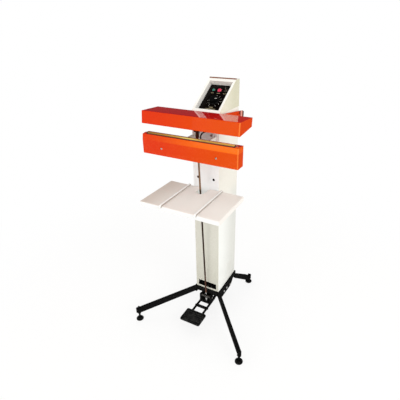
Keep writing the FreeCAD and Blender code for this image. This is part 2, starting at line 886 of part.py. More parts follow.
def make_lower_jaw():
    """The fixed jaw: folded body, end plates, heating bar and its supports."""
    t = jaw_sheet
    front, back = -lower_front, -lower_back
    profile = [(front, lower_bottom), (front, lower_bend), (front + lower_slant, lower_top),
               (back, lower_top), (back, lower_bottom)]
    inner = [(front + t, lower_bottom + t), (front + t, lower_bend),
             (front + lower_slant + t, lower_top - t), (back - t, lower_top - t),
             (back - t, lower_bottom + t)]
    near, far = front + jaw_lip, back - jaw_lip
    mouth = [(near, lower_bottom - 1), (near, lower_bottom + t + 1),
             (far, lower_bottom + t + 1), (far, lower_bottom - 1)]
    half = jaw_length / 2
    body = side_plate(profile, -half + t, half - t)
    body = body.cut(side_plate(inner, -half, half)).cut(side_plate(mouth, -half, half))
    screws = []
    ends = []
    for side in (-1, 1):
        x = side * front_screw_spacing / 2
        hole = rod((x, front - 1, front_screw_height), (x, front + 5, front_screw_height),
                   front_screw_diameter + hole_clearance)
        body = body.cut(hole)
        head = pan_head((x, front, front_screw_height), (0, -1, 0),
                        front_head_diameter, front_head_height)
        shank = rod((x, front, front_screw_height),
                    (x, front + front_screw_reach, front_screw_height), front_screw_diameter)
        screws.append(joined([head, shank]))
        x1 = side * half
        x0 = x1 - side * t
        ends.append(side_plate(profile, min(x0, x1), max(x0, x1)))
    lead_bore = rod((lead_x, back - t - 1, lead_end_z), (lead_x, back + 1, lead_end_z),
                    grommet_diameter)
    body = body.cut(lead_bore)
    keep("lower_jaw_body", body)
    keep_set("lower_jaw_screws", screws)
    keep_set("lower_jaw_ends", ends)
    make_heater()
    make_supports()
    make_lead()


def heater_section(grow, x0, x1, low):
    """The heating bar's section: square shoulders under a round crown."""
    half = heater_width / 2 + grow
    top = lower_top + heater_height + grow
    base = lower_top + low
    shoulder = top - half * 0.5
    a = Vector(x0, -seal_y - half, base)
    b = Vector(x0, -seal_y - half, shoulder)
    crown = Vector(x0, -seal_y, top)
    c = Vector(x0, -seal_y + half, shoulder)
    d = Vector(x0, -seal_y + half, base)
    edges = [Part.LineSegment(a, b).toShape(), Part.Arc(b, crown, c).toShape(),
             Part.LineSegment(c, d).toShape(), Part.LineSegment(d, a).toShape()]
    return Part.Face(Part.Wire(edges)).extrude(Vector(x1 - x0, 0, 0))


def make_heater():
    """The heating bar, its film cover and the low blocks that clamp its ends."""
    half = seal_length / 2
    bar = heater_section(0, -half, half, 0)
    keep("heater_bar", bar)
    film = heater_section(cover_film, -half, half, 0)
    film = film.cut(heater_section(0, -half - 1, half + 1, -1))
    keep("cover_strip", film)
    blocks = []
    for side in (-1, 1):
        x0 = side * half
        x1 = side * (half + end_block_length)
        top = lower_top + end_block_height
        piece = block(min(x0, x1), max(x0, x1), -seal_y - heater_width / 2, -seal_y + heater_width / 2,
                      lower_top, top)
        cap_x = x0 + side * end_block_length / 2
        cap = upright(cap_x, -seal_y, top, top + clamp_screw_height, clamp_screw_diameter)
        blocks.append(joined([piece, cap]))
    keep_set("end_blocks", blocks)


def upright(x, y, low, high, diameter):
    """An upright round post."""
    return Part.makeCylinder(diameter / 2.0, high - low, Vector(x, y, low), Vector(0, 0, 1))


def make_supports():
    """Two arms and a plate that carry the lower jaw on the column's front."""
    face = -half_depth - mount_plate_thick
    low = (support_bottom + support_top) / 2 - mount_plate_height / 2
    plate = block(-mount_plate_width / 2, mount_plate_width / 2, face, -half_depth,
                  low, low + mount_plate_height)
    bolts = []
    arms = [plate]
    for side in (-1, 1):
        x = side * support_spacing / 2
        back = -lower_back
        points = [(face, support_bottom), (face, support_top), (back, support_top),
                  (back, support_bottom + support_clip_height),
                  (back + support_clip_length, support_bottom)]
        arm = side_plate(points, x - support_thick / 2, x + support_thick / 2)
        flange_low = support_bottom + support_flange_rise
        flange_end = x + side * support_flange_width
        flange_back = back + support_flange_thick
        flange = block(min(x, flange_end), max(x, flange_end), back, flange_back,
                       flange_low, support_top)
        arms += [arm, flange]
        bolt_x = x + side * support_bolt_x
        for z in (flange_low + support_bolt_inset, support_top - support_bolt_inset):
            bolts.append(hexagon_nut((bolt_x, flange_back, z), (0, 1, 0), bolt_nut_width,
                                     support_nut_height, 0))
        bolt_x = side * (mount_plate_width / 2 - wall_bolt_inset)
        for z in (low + support_bolt_inset, low + mount_plate_height - support_bolt_inset):
            bolts.append(hexagon_nut((bolt_x, face, z), (0, -1, 0), wall_nut_width,
                                     wall_nut_height, 0))
    keep("jaw_support", joined(arms))
    keep_set("jaw_support_bolts", bolts)


def make_lead():
    """The heater's lead: a grommet at each end and the tube between them."""
    wall = -half_depth
    jaw = -lower_back
    points = [Vector(lead_x, wall - grommet_flange, lead_start_z),
              Vector(lead_x, wall - lead_straight, lead_start_z),
              Vector(lead_x, jaw + lead_straight, lead_end_z),
              Vector(lead_x, jaw + grommet_flange, lead_end_z)]
    edges = []
    start = points[0]
    for before, corner, after in zip(points, points[1:], points[2:]):
        into = corner - before
        out = after - corner
        half_turn = into.getAngle(out) / 2
        trim = lead_bend_share * min(into.Length, out.Length)
        radius = trim / math.tan(half_turn)
        into.normalize()
        out.normalize()
        a = corner - into * trim
        b = corner + out * trim
        inward = (out - into).normalize()
        middle = corner + inward * (radius / math.cos(half_turn) - radius)
        edges.append(Part.LineSegment(start, a).toShape())
        edges.append(Part.Arc(a, middle, b).toShape())
        start = b
    edges.append(Part.LineSegment(start, points[-1]).toShape())
    path = Part.Wire(edges)
    ring = Part.Wire(Part.Circle(points[0], Vector(0, 1, 0), lead_diameter / 2).toShape())
    tube = path.makePipeShell([ring], True, True)
    keep("heater_lead", tube)
    grommets = []
    for y, way, thick, z in ((wall, -1, column_sheet, lead_start_z),
                             (jaw, 1, jaw_sheet, lead_end_z)):
        flange = rod((lead_x, y, z), (lead_x, y + way * grommet_flange, z),
                     grommet_diameter + 2 * grommet_rim)
        neck = rod((lead_x, y - way * (thick + grommet_grip), z), (lead_x, y, z),
                   grommet_diameter - 2 * hole_clearance)
        grommets.append(joined([flange, neck]))
    keep_set("lead_grommets", grommets)


# Upper jaw

def make_upper_jaw():
    """The moving jaw: cover, press bar, silicone strip, yoke and tie channel."""
    make_cover()
    strip_low = lower_top + heater_height + cover_film + closed_gap
    bar_low = strip_low + silicone_height
    half = seal_length / 2 + press_bar_overhang
    strip = block(-seal_length / 2, seal_length / 2, -seal_y - silicone_width / 2,
                  -seal_y + silicone_width / 2, strip_low, bar_low)
    keep("silicone_strip", open_jaw(strip))
    w = press_bar_width / 2
    bar = block(-half, half, -seal_y - w, -seal_y + w, bar_low, bar_low + press_bar_height)
    inside = w - press_bar_wall
    bore = block(-half - 1, half + 1, -seal_y - inside, -seal_y + inside,
                 bar_low + press_bar_wall, bar_low + press_bar_height - press_bar_wall)
    keep("press_bar", open_jaw(bar.cut(bore)))
    make_yoke(bar_low)
    make_tie(bar_low)


def make_cover():
    """The long sheet cover, open below, with tapered end plates."""
    t = jaw_sheet
    outer = [(-cover_front, cover_bottom), (-cover_front, cover_front_top),
             (-cover_back, cover_back_top), (-cover_back, cover_back_bottom)]
    inner = [(-cover_front + t, cover_bottom - 40), (-cover_front + t, cover_front_top - t),
             (-cover_back - t, cover_back_top - t), (-cover_back - t, cover_bottom - 40)]
    half = jaw_length / 2
    cover = side_plate(outer, -half, half)
    cover = rounded(cover, cover_corner, along(0))
    cover = cover.cut(side_plate(inner, -half + t, half - t))
    reach = half_width + yoke_side_gap
    for side in (-1, 1):
        x0 = side * (reach - 1.0)
        x1 = side * (reach + yoke_thick + 1.0)
        cover = cover.cut(block(min(x0, x1), max(x0, x1), -cover_back - t - 1, -cover_back + 1,
                                cover_back_bottom - 5, jaw_pivot_z + yoke_above_pivot + 1.0))
    keep("upper_cover", open_jaw(cover))


def make_yoke(bar_low):
    """A flat bar bent to a U round the column; its front ends hold the press bar."""
    reach = half_width + yoke_side_gap
    t = yoke_thick
    top = jaw_pivot_z + yoke_above_pivot
    low = top - yoke_height
    front = -seal_y + press_bar_width / 2
    outer = block(-reach - t, reach + t, front, yoke_tail, low, top)
    outer = rounded(outer, yoke_bend + t, lambda e: along(2)(e) and e.Vertexes[0].Y > 0)
    inner = block(-reach, reach, front - 1, yoke_tail - t, low - 1, top + 1)
    inner = rounded(inner, yoke_bend, lambda e: along(2)(e) and e.Vertexes[0].Y > 0)
    strap = outer.cut(inner)
    tail = yoke_tail
    web_top = top - (yoke_height - yoke_web_height) / 2
    profile = [(front, cover_back_bottom - 8.0), (front, bar_low + press_bar_height - 4.0),
               (-cover_back, bar_low + press_bar_height - 2.0), (-cover_back + 30.0, top),
               (tail - tail_round, top), (tail - tail_round * 0.3, web_top - 2.0),
               (tail + 1, web_top - tail_round * 0.5), (tail + 1, low + 2.0), (tail - 20, low),
               (-half_depth, low), (-cover_back - 14.0, cover_back_bottom - 8.0)]
    strap = strap.common(side_plate(profile, -reach - t - 1, reach + t + 1))
    bore = rod((-reach - t - 1, jaw_pivot_y, jaw_pivot_z), (reach + t + 1, jaw_pivot_y, jaw_pivot_z),
               yoke_shaft_diameter + 2 * running_clearance)
    strap = strap.cut(bore)
    lug_y, lug_z = closed_from_open(spring_y, spring_lug_z)
    lug = block(-ear_thick / 2, ear_thick / 2, lug_y, tail - t,
                lug_z - ear_width / 2, lug_z + ear_width / 2)
    lug_tip = rod((-ear_thick / 2, lug_y, lug_z), (ear_thick / 2, lug_y, lug_z), ear_width)
    hole = rod((-ear_thick, lug_y, lug_z), (ear_thick, lug_y, lug_z), hook_hole_diameter)
    keep("yoke", open_jaw(joined([strap, lug, lug_tip]).cut(hole)))


def make_tie(bar_low):
    """The channel that ties the two yoke arms, with the rod's clevis lugs under it."""
    reach = half_width + yoke_side_gap
    t = tie_sheet
    top = bar_low + press_bar_height - 4.0
    low = top - tie_height
    channel = block(-reach, reach, -tie_front, -tie_back, low, top)
    hollow = block(-reach - 1, reach + 1, -tie_front + t, -tie_back - t, low - 1, top - t)
    pin_y, pin_z = closed_from_open(-rod_top_y, rod_top_z)
    channel = channel.cut(hollow)
    inner = eye_thick / 2 + lug_play
    for side in (-1, 1):
        x0 = side * inner
        x1 = side * (inner + lug_thick)
        plate = block(min(x0, x1), max(x0, x1), pin_y - lug_width / 2, pin_y + lug_width / 2,
                      pin_z, top - t)
        boss = rod((x0, pin_y, pin_z), (x1, pin_y, pin_z), lug_width)
        channel = joined([channel, plate, boss])
    bore = rod((-lug_width, pin_y, pin_z), (lug_width, pin_y, pin_z), eye_pin_diameter)
    keep("tie_channel", open_jaw(channel.cut(bore)))
    end = inner + lug_thick
    pin = rod((-end - pin_end, pin_y, pin_z), (end, pin_y, pin_z), eye_pin_diameter)
    head = rod((end, pin_y, pin_z), (end + pin_head_height, pin_y, pin_z),
               eye_pin_diameter + 2 * pin_head_rim)
    keep("clevis_pin", open_jaw(joined([pin, head])))


# Pull rod

rod_run = Vector(0, rod_top_y - rod_bottom_y, rod_bottom_z - rod_top_z)
rod_way = Vector(rod_run).normalize()


def rod_point(distance):
    """A point on the rod's line, measured down from the top pin."""
    return Vector(0, -rod_top_y, rod_top_z) + rod_way * distance


def make_rod():
    """The pull rod with its eye, the trunnion at the pedal and the adjusting nuts."""
    reach = rod_run.Length
    eye = rod((-eye_thick / 2, -rod_top_y, rod_top_z), (eye_thick / 2, -rod_top_y, rod_top_z),
              eye_diameter)
    socket = rod(tuple(rod_point(eye_diameter * 0.35)), tuple(rod_point(socket_length)),
                 socket_diameter)
    bore = rod((-eye_thick, -rod_top_y, rod_top_z), (eye_thick, -rod_top_y, rod_top_z),
               eye_pin_diameter + 2 * running_clearance)
    thread = rod(tuple(rod_point(rod_seat)), tuple(rod_point(socket_length + 1)),
                 rod_diameter)
    flat_low = rod_top_z - eye_diameter * eye_flat_share
    flat = block(-eye_thick / 2, eye_thick / 2, -rod_top_y - 40, -rod_top_y + 40,
                 flat_low, rod_top_z + 40)
    neck = socket.common(flat)
    barrel = socket.cut(block(-30, 30, -rod_top_y - 40, -rod_top_y + 40,
                              flat_low, rod_top_z + 40))
    keep("rod_eye", joined([eye, neck, barrel]).cut(bore).cut(thread))
    start, end = rod_point(rod_seat), rod_point(reach + rod_end_below)
    keep("pull_rod", rod(tuple(start), tuple(end), rod_diameter))

    inner = pedal_bar_outer - pedal_bar_width - trunnion_play
    body = rod((-inner, -rod_bottom_y, rod_bottom_z), (inner, -rod_bottom_y, rod_bottom_z),
               trunnion_diameter)
    outer = pedal_bar_outer + journal_reach
    journals = rod((-outer, -rod_bottom_y, rod_bottom_z), (outer, -rod_bottom_y, rod_bottom_z),
                   journal_diameter)
    cross = rod(tuple(rod_point(reach - 20)), tuple(rod_point(reach + 20)),
                rod_diameter + 2 * running_clearance)
    keep("trunnion", joined([body, journals]).cut(cross))
    nuts = []
    direction = tuple(rod_way)
    below = rod_point(reach + trunnion_diameter / 2)
    for k in range(2):
        place = below + rod_way * (k * (rod_nut_height + rod_nut_gap) + seat_gap)
        nuts.append(hexagon_nut(tuple(place), direction, rod_nut_width, rod_nut_height, rod_diameter))
    above = rod_point(reach - trunnion_diameter / 2 - rod_nut_height - seat_gap)
    nuts.append(hexagon_nut(tuple(above), direction, rod_nut_width, rod_nut_height, rod_diameter))
    keep_set("rod_nuts", nuts)


# Pedal

def make_pedal():
    """The ladder-shaped pedal with its plate, rungs, foot plate and ribbed tread."""
    top = pedal_bar_top
    low = top - pedal_bar_height
    bar_front = -pad_front + pedal_bar_setback
    for side in (-1, 1):
        name = "left" if side < 0 else "right"
        x1 = side * pedal_bar_outer
        x0 = side * (pedal_bar_outer - pedal_bar_width)
        keep("pedal_bar_" + name, pedal_bar(min(x0, x1), max(x0, x1), bar_front, top, low))
    inner = pedal_bar_outer - pedal_bar_width
    plate_y = -rod_bottom_y + trunnion_diameter / 2 + web_gap
    plate = block(-inner, inner, plate_y, plate_y + web_thick, low, rod_bottom_z - web_below_rod)
    foot = block(-inner, inner, plate_y, plate_y + web_foot_length, low, low + web_thick)
    keep("pedal_web", joined([plate, foot]))
    z = (top + low) / 2
    pieces = [rod((-inner, -rung_y, z), (inner, -rung_y, z), rung_diameter)]
    for side in (-1, 1):
        x0 = side * inner
        x1 = side * pedal_bar_outer
        pieces.append(rod((x0, -rung_y, z), (x1, -rung_y, z), rung_screw_diameter))
        pieces.append(pan_head((x1, -rung_y, z), (side, 0, 0),
                               rung_head_diameter, rung_head_height))
    keep("pedal_rung", joined(pieces))
    plate = block(-pad_half_width, pad_half_width, -pad_front, -pad_back, top, top + pad_plate_thick)
    plate = rounded(plate, pad_corner, along(2))
    keep("pad_plate", plate)
    tread_low = top + pad_plate_thick
    tread_high = tread_low + tread_thick
    tread = block(-pad_half_width, pad_half_width, -pad_front, -pad_back, tread_low, tread_high)
    tread = rounded(tread, pad_corner, along(2))
    pitch = (pad_front - pad_back) / tread_ribs
    groove_end = pad_half_width - tread_border
    for k in range(1, tread_ribs):
        y = -pad_front + k * pitch
        groove = block(-groove_end, groove_end, y - tread_groove_width / 2,
                       y + tread_groove_width / 2, tread_high - tread_groove_depth, tread_high + 1)
        tread = tread.cut(groove)
    keep("pedal_tread", tread)


def pedal_bar(x0, x1, bar_front, top, low):
    """One side bar: a flat run under the pad, the rod's ear and the rise to the pivot."""
    run = [(bar_front, low), (bar_front, top), (pedal_knee_y, top), (pedal_knee_y + 8.0, low)]
    bar = side_plate(run, x0, x1)
    rise = [(pedal_knee_y - 14.0, top), (pedal_knee_y - 4.0, low),
            (pedal_pivot_y + 4.0, pedal_pivot_z - 11.0), (pedal_pivot_y - 4.0, pedal_pivot_z + 10.0),
            (pedal_knee_y + 20.0, top + 16.0)]
    lever = side_plate(rise, x0, x1)
    boss = rod((x0, pedal_pivot_y, pedal_pivot_z), (x1, pedal_pivot_y, pedal_pivot_z),
               pedal_shaft_diameter + 2 * pedal_boss_rim)
    ear_width = journal_diameter + 2 * pedal_ear_rim
    ear = block(x0, x1, -rod_bottom_y - ear_width / 2, -rod_bottom_y + ear_width / 2,
                low, rod_bottom_z)
    ear_top = rod((x0, -rod_bottom_y, rod_bottom_z), (x1, -rod_bottom_y, rod_bottom_z), ear_width)
    ear_top = ear_top.common(block(x0, x1, -rod_bottom_y - 20, -rod_bottom_y + 20,
                                   rod_bottom_z - 1, frame_bottom + 10.0))
    bar = joined([bar, lever, boss, ear, ear_top])
    bar = bar.cut(rod((x0 - 1, pedal_pivot_y, pedal_pivot_z), (x1 + 1, pedal_pivot_y, pedal_pivot_z),
                      pedal_shaft_diameter + 2 * running_clearance))
    bar = bar.cut(rod((x0 - 1, -rung_y, (top + low) / 2), (x1 + 1, -rung_y, (top + low) / 2),
                      rung_screw_diameter))
    bar = bar.cut(rod((x0 - 1, -rod_bottom_y, rod_bottom_z), (x1 + 1, -rod_bottom_y, rod_bottom_z),
                      journal_diameter + 2 * journal_play))
    return bar


# Table

def make_table():
    """The folded work table, its two guide beads, brackets and bolts."""
    half = table_width / 2
    back = -half_depth - table_gap
    low = table_top - table_flange
    t = table_sheet
    outer = block(-half, half, -table_front, back, low, table_top)
    outer = rounded(outer, table_bend, lambda e: (along(0)(e) and e.Vertexes[0].Z > low + 1
                                                  and e.Vertexes[0].Y < back - 1)
                    or (along(1)(e) and e.Vertexes[0].Z > low + 1))
    inner = block(-half + t, half - t, -table_front + t, back + 1, low - 1, table_top - t)
    table = outer.cut(inner)
    notch_round = notch_width / 2
    notch = block(-notch_round, notch_round, -notch_front + notch_round, back + 1,
                  low - 1, table_top + 1)
    notch_end = upright(0, -notch_front + notch_round, low - 1, table_top + 1, notch_width)
    table = table.cut(notch).cut(notch_end)
    keep("work_table", table)
    keep_set("table_guides", [guide_bead(-guide_x, back), guide_bead(guide_x, back)])
    brackets = []
    bolts = []
    for side in (-1, 1):
        bracket, pair = make_bracket(side)
        brackets.append(bracket)
        bolts += pair
    keep_set("table_brackets", brackets)
    keep_set("table_bolts", bolts)


def guide_bead(x, back):
    """A half-round bead along the table that curls over its front edge."""
    half = guide_width / 2
    start = Vector(x - half, back, table_top)
    crown = Vector(x, back, table_top + guide_height)
    end = Vector(x + half, back, table_top)
    edges = [Part.Arc(start, crown, end).toShape(), Part.LineSegment(end, start).toShape()]
    length = table_front + back - table_bend
    bead = Part.Face(Part.Wire(edges)).extrude(Vector(0, -length, 0))
    face = Part.Face(Part.Wire(edges))
    face.translate(Vector(0, -length, 0))
    curl = face.revolve(Vector(x, back - length, table_top - table_bend), Vector(1, 0, 0), 90)
    return joined([bead, curl])


def make_bracket(side):
    """An angle bracket under the table and the bolts that hold it to the column."""
    x = side * bracket_x
    t = bracket_thick
    top = table_top - table_sheet
    wall = -half_depth
    points = [(wall, top), (wall, top - bracket_drop), (wall - bracket_toe, top - bracket_drop),
              (wall - bracket_reach, top - bracket_tip), (wall - bracket_reach, top)]
    web = side_plate(points, x - t / 2, x + t / 2)
    shelf_end = x + side * bracket_shelf_width
    shelf = block(min(x, shelf_end), max(x, shelf_end), wall - bracket_reach,
                  wall - table_gap - bracket_shelf_gap, top - t, top)
    flange_end = x + side * bracket_flange_width
    back_flange = block(min(x, flange_end), max(x, flange_end), wall - t, wall,
                        top - bracket_drop, top - bracket_flange_gap)
    bracket = joined([web, shelf, back_flange])
    bolts = []
    bx = x + side * bolt_inset
    for z in (top - upper_bolt_drop, top - bracket_drop + lower_bolt_rise):
        hole = rod((bx, wall - t - 1, z), (bx, wall + 1, z), bolt_diameter + hole_clearance)
        bracket = bracket.cut(hole)
        nodes["column_shell"] = nodes["column_shell"].cut(
            rod((bx, wall - 1, z), (bx, wall + 4, z), bolt_diameter + hole_clearance))
        shank = rod((bx, wall - t, z), (bx, wall + column_sheet, z), bolt_diameter)
        head = hexagon_nut((bx, wall - t, z), (0, -1, 0), bolt_nut_width, bolt_head_height, 0)
        nut = hexagon_nut((bx, wall + column_sheet, z), (0, 1, 0), bolt_nut_width,
                          bolt_nut_height, 0)
        bolts.append(joined([shank, head, nut]))
    return bracket, bolts


# Spring

def make_spring():
    """The return spring between the yoke's tail and its anchor on the column."""
    anchor_y0 = half_depth
    anchor = block(-anchor_width / 2, anchor_width / 2, anchor_y0, anchor_y0 + anchor_thick,
                   spring_anchor_z - anchor_below, spring_anchor_z + anchor_above)
    shelf_low = spring_anchor_z - anchor_shelf_drop
    shelf = block(-anchor_width / 2, anchor_width / 2, anchor_y0, spring_y + anchor_shelf_reach,
                  shelf_low, shelf_low + anchor_thick)
    shelf = rounded(shelf, anchor_shelf_corner,
                    lambda e: along(2)(e) and e.Vertexes[0].Y > anchor_y0 + 5)
    low = spring_anchor_z
    ear = block(-ear_thick / 2, ear_thick / 2, spring_y - ear_width / 2, spring_y + ear_width / 2,
                shelf_low, low - hook_play)
    ear_tip = rod((-ear_thick / 2, spring_y, low - hook_play), (ear_thick / 2, spring_y, low - hook_play),
                  ear_width)
    ear = joined([ear, ear_tip])
    hole = rod((-ear_thick, spring_y, low - hook_play), (ear_thick, spring_y, low - hook_play),
               hook_hole_diameter)
    keep("spring_anchor", joined([anchor, shelf, ear]).cut(hole))

    high = spring_lug_z - hook_play
    space = high - low - 4 * hook_radius
    body_height = (int(space / spring_wire) + 1) * spring_wire
    coils = close_wound_coils((low + high - body_height) / 2, body_height)
    hooks = [hook_ring(low + hook_radius), hook_ring(high - hook_radius)]
    spring = joined([coils] + hooks)
    spring.translate(Vector(0, spring_y, 0))
    keep("return_spring", spring)


def close_wound_coils(low, height):
    """Coils that lie against each other, as one turned body with rounded ends."""
    radius, bevel = spring_diameter / 2, spring_wire / 2
    profile = [(0, low), (radius - bevel, low), (radius, low + bevel),
               (radius, low + height - bevel), (radius - bevel, low + height), (0, low + height)]
    corners = [Vector(r, 0, z) for r, z in profile]
    body = Part.Face(Part.makePolygon(corners + corners[:1]))
    return body.revolve(Vector(0, 0, 0), Vector(0, 0, 1), 360)


def hook_ring(z):
    """The closed hook at one end of the spring, its wire drawn eight-sided."""
    corners = []
    for k in range(hook_sides):
        turn = 2 * math.pi * (k + 0.5) / hook_sides
        corners.append(Vector(hook_radius + hook_wire * math.cos(turn), hook_wire * math.sin(turn), 0))
    ring = Part.Face(Part.makePolygon(corners + corners[:1]))
    ring = ring.revolve(Vector(0, 0, 0), Vector(0, 1, 0), 360)
    ring.translate(Vector(0, 0, z))
    return ring


def main():
    make_base()
    make_legs()
    make_column()
    make_electrics()
    make_control_box()
    make_lower_jaw()
    make_upper_jaw()
    make_rod()
    make_pedal()
    make_table()
    make_spring()
    os.makedirs("parts", exist_ok=True)
    for name, shape in nodes.items():
        placed = shape.copy()
        placed.translate(Vector(0, column_shift, 0))
        placed.exportStep("parts/" + name + ".step")
        whole = placed.isValid() and all(solid.isClosed() for solid in placed.Solids)
        print(name, len(placed.Solids), "ok" if whole else "BAD", round(placed.Volume, 1))


main()
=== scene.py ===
"""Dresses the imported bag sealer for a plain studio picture.

The CAD frame is loaded first and gives every place and size. Each operator below
builds one group of pieces round it, and main() runs them in order. Lengths are
metres; a value in millimetres is multiplied by MM.
"""

import json
import math

import bmesh
import bpy
from bpy.props import FloatProperty, FloatVectorProperty, IntProperty, PointerProperty
from bpy.types import Operator, Panel, PropertyGroup
from mathutils import Matrix, Vector

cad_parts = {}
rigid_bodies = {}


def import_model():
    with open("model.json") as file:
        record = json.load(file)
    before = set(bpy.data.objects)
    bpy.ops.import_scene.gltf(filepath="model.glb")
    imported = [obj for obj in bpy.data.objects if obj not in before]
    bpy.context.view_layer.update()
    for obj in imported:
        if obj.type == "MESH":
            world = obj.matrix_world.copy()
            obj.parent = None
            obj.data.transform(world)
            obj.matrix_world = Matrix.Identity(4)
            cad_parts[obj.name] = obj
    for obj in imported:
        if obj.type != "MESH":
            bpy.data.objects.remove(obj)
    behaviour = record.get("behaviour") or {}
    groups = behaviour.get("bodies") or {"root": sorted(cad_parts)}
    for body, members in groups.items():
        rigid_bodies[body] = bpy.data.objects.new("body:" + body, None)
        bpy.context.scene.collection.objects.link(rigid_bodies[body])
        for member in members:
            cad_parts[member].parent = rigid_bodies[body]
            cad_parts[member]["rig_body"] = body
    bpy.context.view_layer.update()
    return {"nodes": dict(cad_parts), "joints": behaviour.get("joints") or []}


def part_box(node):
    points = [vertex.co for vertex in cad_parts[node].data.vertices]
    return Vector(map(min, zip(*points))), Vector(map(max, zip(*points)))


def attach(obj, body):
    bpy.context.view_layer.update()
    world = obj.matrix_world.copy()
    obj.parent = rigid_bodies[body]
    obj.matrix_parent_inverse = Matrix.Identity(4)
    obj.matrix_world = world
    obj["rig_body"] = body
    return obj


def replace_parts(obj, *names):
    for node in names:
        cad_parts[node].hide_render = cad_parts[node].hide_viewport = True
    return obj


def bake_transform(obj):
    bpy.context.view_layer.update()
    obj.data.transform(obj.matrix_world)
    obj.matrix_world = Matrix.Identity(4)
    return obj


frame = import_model()

bl_info = {
    "name": "Bag sealer dressing",
    "version": (1, 0, 0),
    "blender": (4, 5, 0),
    "location": "3D View > Sidebar > Sealer",
    "description": "Builds the visible pieces of a pedal-worked bag sealer round its CAD frame",
    "category": "Object",
}

MM = 0.001
FULL_TURN = 2 * math.pi
RIGHT, REAR, UP = Vector((1, 0, 0)), Vector((0, 1, 0)), Vector((0, 0, 1))
FRONT, LEFT = -REAR, -RIGHT


# Places read from the frame


def joint(name):
    """The record's entry for one joint."""
    return next(entry for entry in frame["joints"] if entry["name"] == name)


def centre(node):
    """The middle of a node's box."""
    low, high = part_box(node)
    return (low + high) / 2


def welded_copy(node):
    """A CAD node's mesh with its points welded and its flat seams dissolved."""
    copy = bmesh.new()
    copy.from_mesh(frame["nodes"][node].data)
    bmesh.ops.remove_doubles(copy, verts=copy.verts, dist=0.002 * MM)
    bmesh.ops.dissolve_limit(copy, angle_limit=math.radians(1.0), verts=copy.verts,
                             edges=copy.edges)
    return copy


def solids_of(node):
    """The box of each separate solid in a node, as (low, high) corners."""
    copy = welded_copy(node)
    boxes, left = [], set(copy.verts)
    while left:
        island, fresh = [], [left.pop()]
        while fresh:
            vertex = fresh.pop()
            island.append(vertex.co)
            for edge in vertex.link_edges:
                other = edge.other_vert(vertex)
                if other in left:
                    left.remove(other)
                    fresh.append(other)
        low = Vector(min(co[axis] for co in island) for axis in range(3))
        high = Vector(max(co[axis] for co in island) for axis in range(3))
        boxes.append((low, high))
    copy.free()
    return sorted(boxes, key=lambda pair: tuple(pair[0]))


def aim(origin, direction):
    """A frame at a point whose Z runs along a direction."""
    matrix = Vector(direction).to_track_quat("Z", "Y").to_matrix().to_4x4()
    matrix.translation = origin
    return matrix


def panel_frame():
    """A frame on the control panel's face: X right, Y up the slope, Z outwards, at the knob."""
    outward = Vector(joint("knob_turn")["axis"]).normalized()
    matrix = Matrix((RIGHT, outward.cross(RIGHT), outward)).transposed().to_4x4()
    panel_thick = 1.5 * MM
    matrix.translation = Vector(joint("knob_turn")["pos_m"]) + outward * panel_thick
    return matrix


ON_PANEL = panel_frame()
LAMP_ROW = 62.0 * MM
GREEN_LAMP_X = -29.0 * MM
SWITCH_X = 30.0 * MM
PEDAL_PIN = Vector(joint("pedal_hinge")["pos_m"])
ROD_TOP = Vector(joint("rod_hinge")["pos_m"])
ROD_WAY = (centre("trunnion") - ROD_TOP).normalized()


# Settings

def colour_property(name, description, default):
    """A colour that a user may change."""
    return FloatVectorProperty(name=name, description=description, default=default,
                               subtype="COLOR", size=3, min=0.0, max=1.0)


class EnamelColours(PropertyGroup):
    """The colours of the painted sheet metal."""
    jaw: colour_property("Jaws", "Orange enamel of the two jaws", (0.62, 0.036, 0.002))
    # Jaw tops: a deeper crimson on the upper faces, painted shade and painted reflection.
    jaw_top: colour_property("Jaw tops", "Deeper tone on the upper faces", (0.52, 0.003, 0.009))
    column: colour_property("Column", "Cream enamel of column and control box",
                            (0.81, 0.79, 0.72))
    table: colour_property("Table", "Warm white enamel of the work table", (0.86, 0.83, 0.79))
    base: colour_property("Base", "Black enamel of base and pedal", (0.004, 0.004, 0.004))


class EdgeSizes(PropertyGroup):
    """How far the edges of the metal pieces are rounded."""
    sheet: FloatProperty(name="Sheet edges", description="Rounding of folded sheet edges",
                         default=0.5 * MM, min=0.05 * MM, max=2 * MM, unit="LENGTH")
    bar: FloatProperty(name="Bar edges", description="Rounding of flat and square bar",
                       default=0.9 * MM, min=0.05 * MM, max=3 * MM, unit="LENGTH")
    small: FloatProperty(name="Small edges", description="Rounding of turned and small pieces",
                         default=0.25 * MM, min=0.02 * MM, max=1 * MM, unit="LENGTH")
    segments: IntProperty(name="Segments", description="Faces across a rounded edge",
                          default=2, min=1, max=6)


class StudioSettings(PropertyGroup):
    """Camera and light of the studio."""
    lens: FloatProperty(name="Lens", description="Focal length of the camera in millimetres",
                        default=31.38, min=10.0, max=200.0)
    key: FloatProperty(name="Key light", description="Power of the large light at the right",
                       default=38.0, min=0.0, max=500.0, unit="POWER")
    fill: FloatProperty(name="Fill light", description="Power of the soft light at the left",
                        default=16.0, min=0.0, max=500.0, unit="POWER")
    ambient: FloatProperty(name="Ambient", description="Strength of the studio's white walls",
                           default=0.95, min=0.0, max=2.0)
    backdrop: colour_property("Backdrop", "Colour of the floor and of the studio's walls",
                              (1.0, 1.0, 1.0))


class SealerSettings(PropertyGroup):
    """All that a user may change on the bag sealer."""
    colours: PointerProperty(type=EnamelColours)
    edges: PointerProperty(type=EdgeSizes)
    studio: PointerProperty(type=StudioSettings)


def settings():
    """The scene's own settings."""
    return bpy.context.scene.sealer


# Shader maths

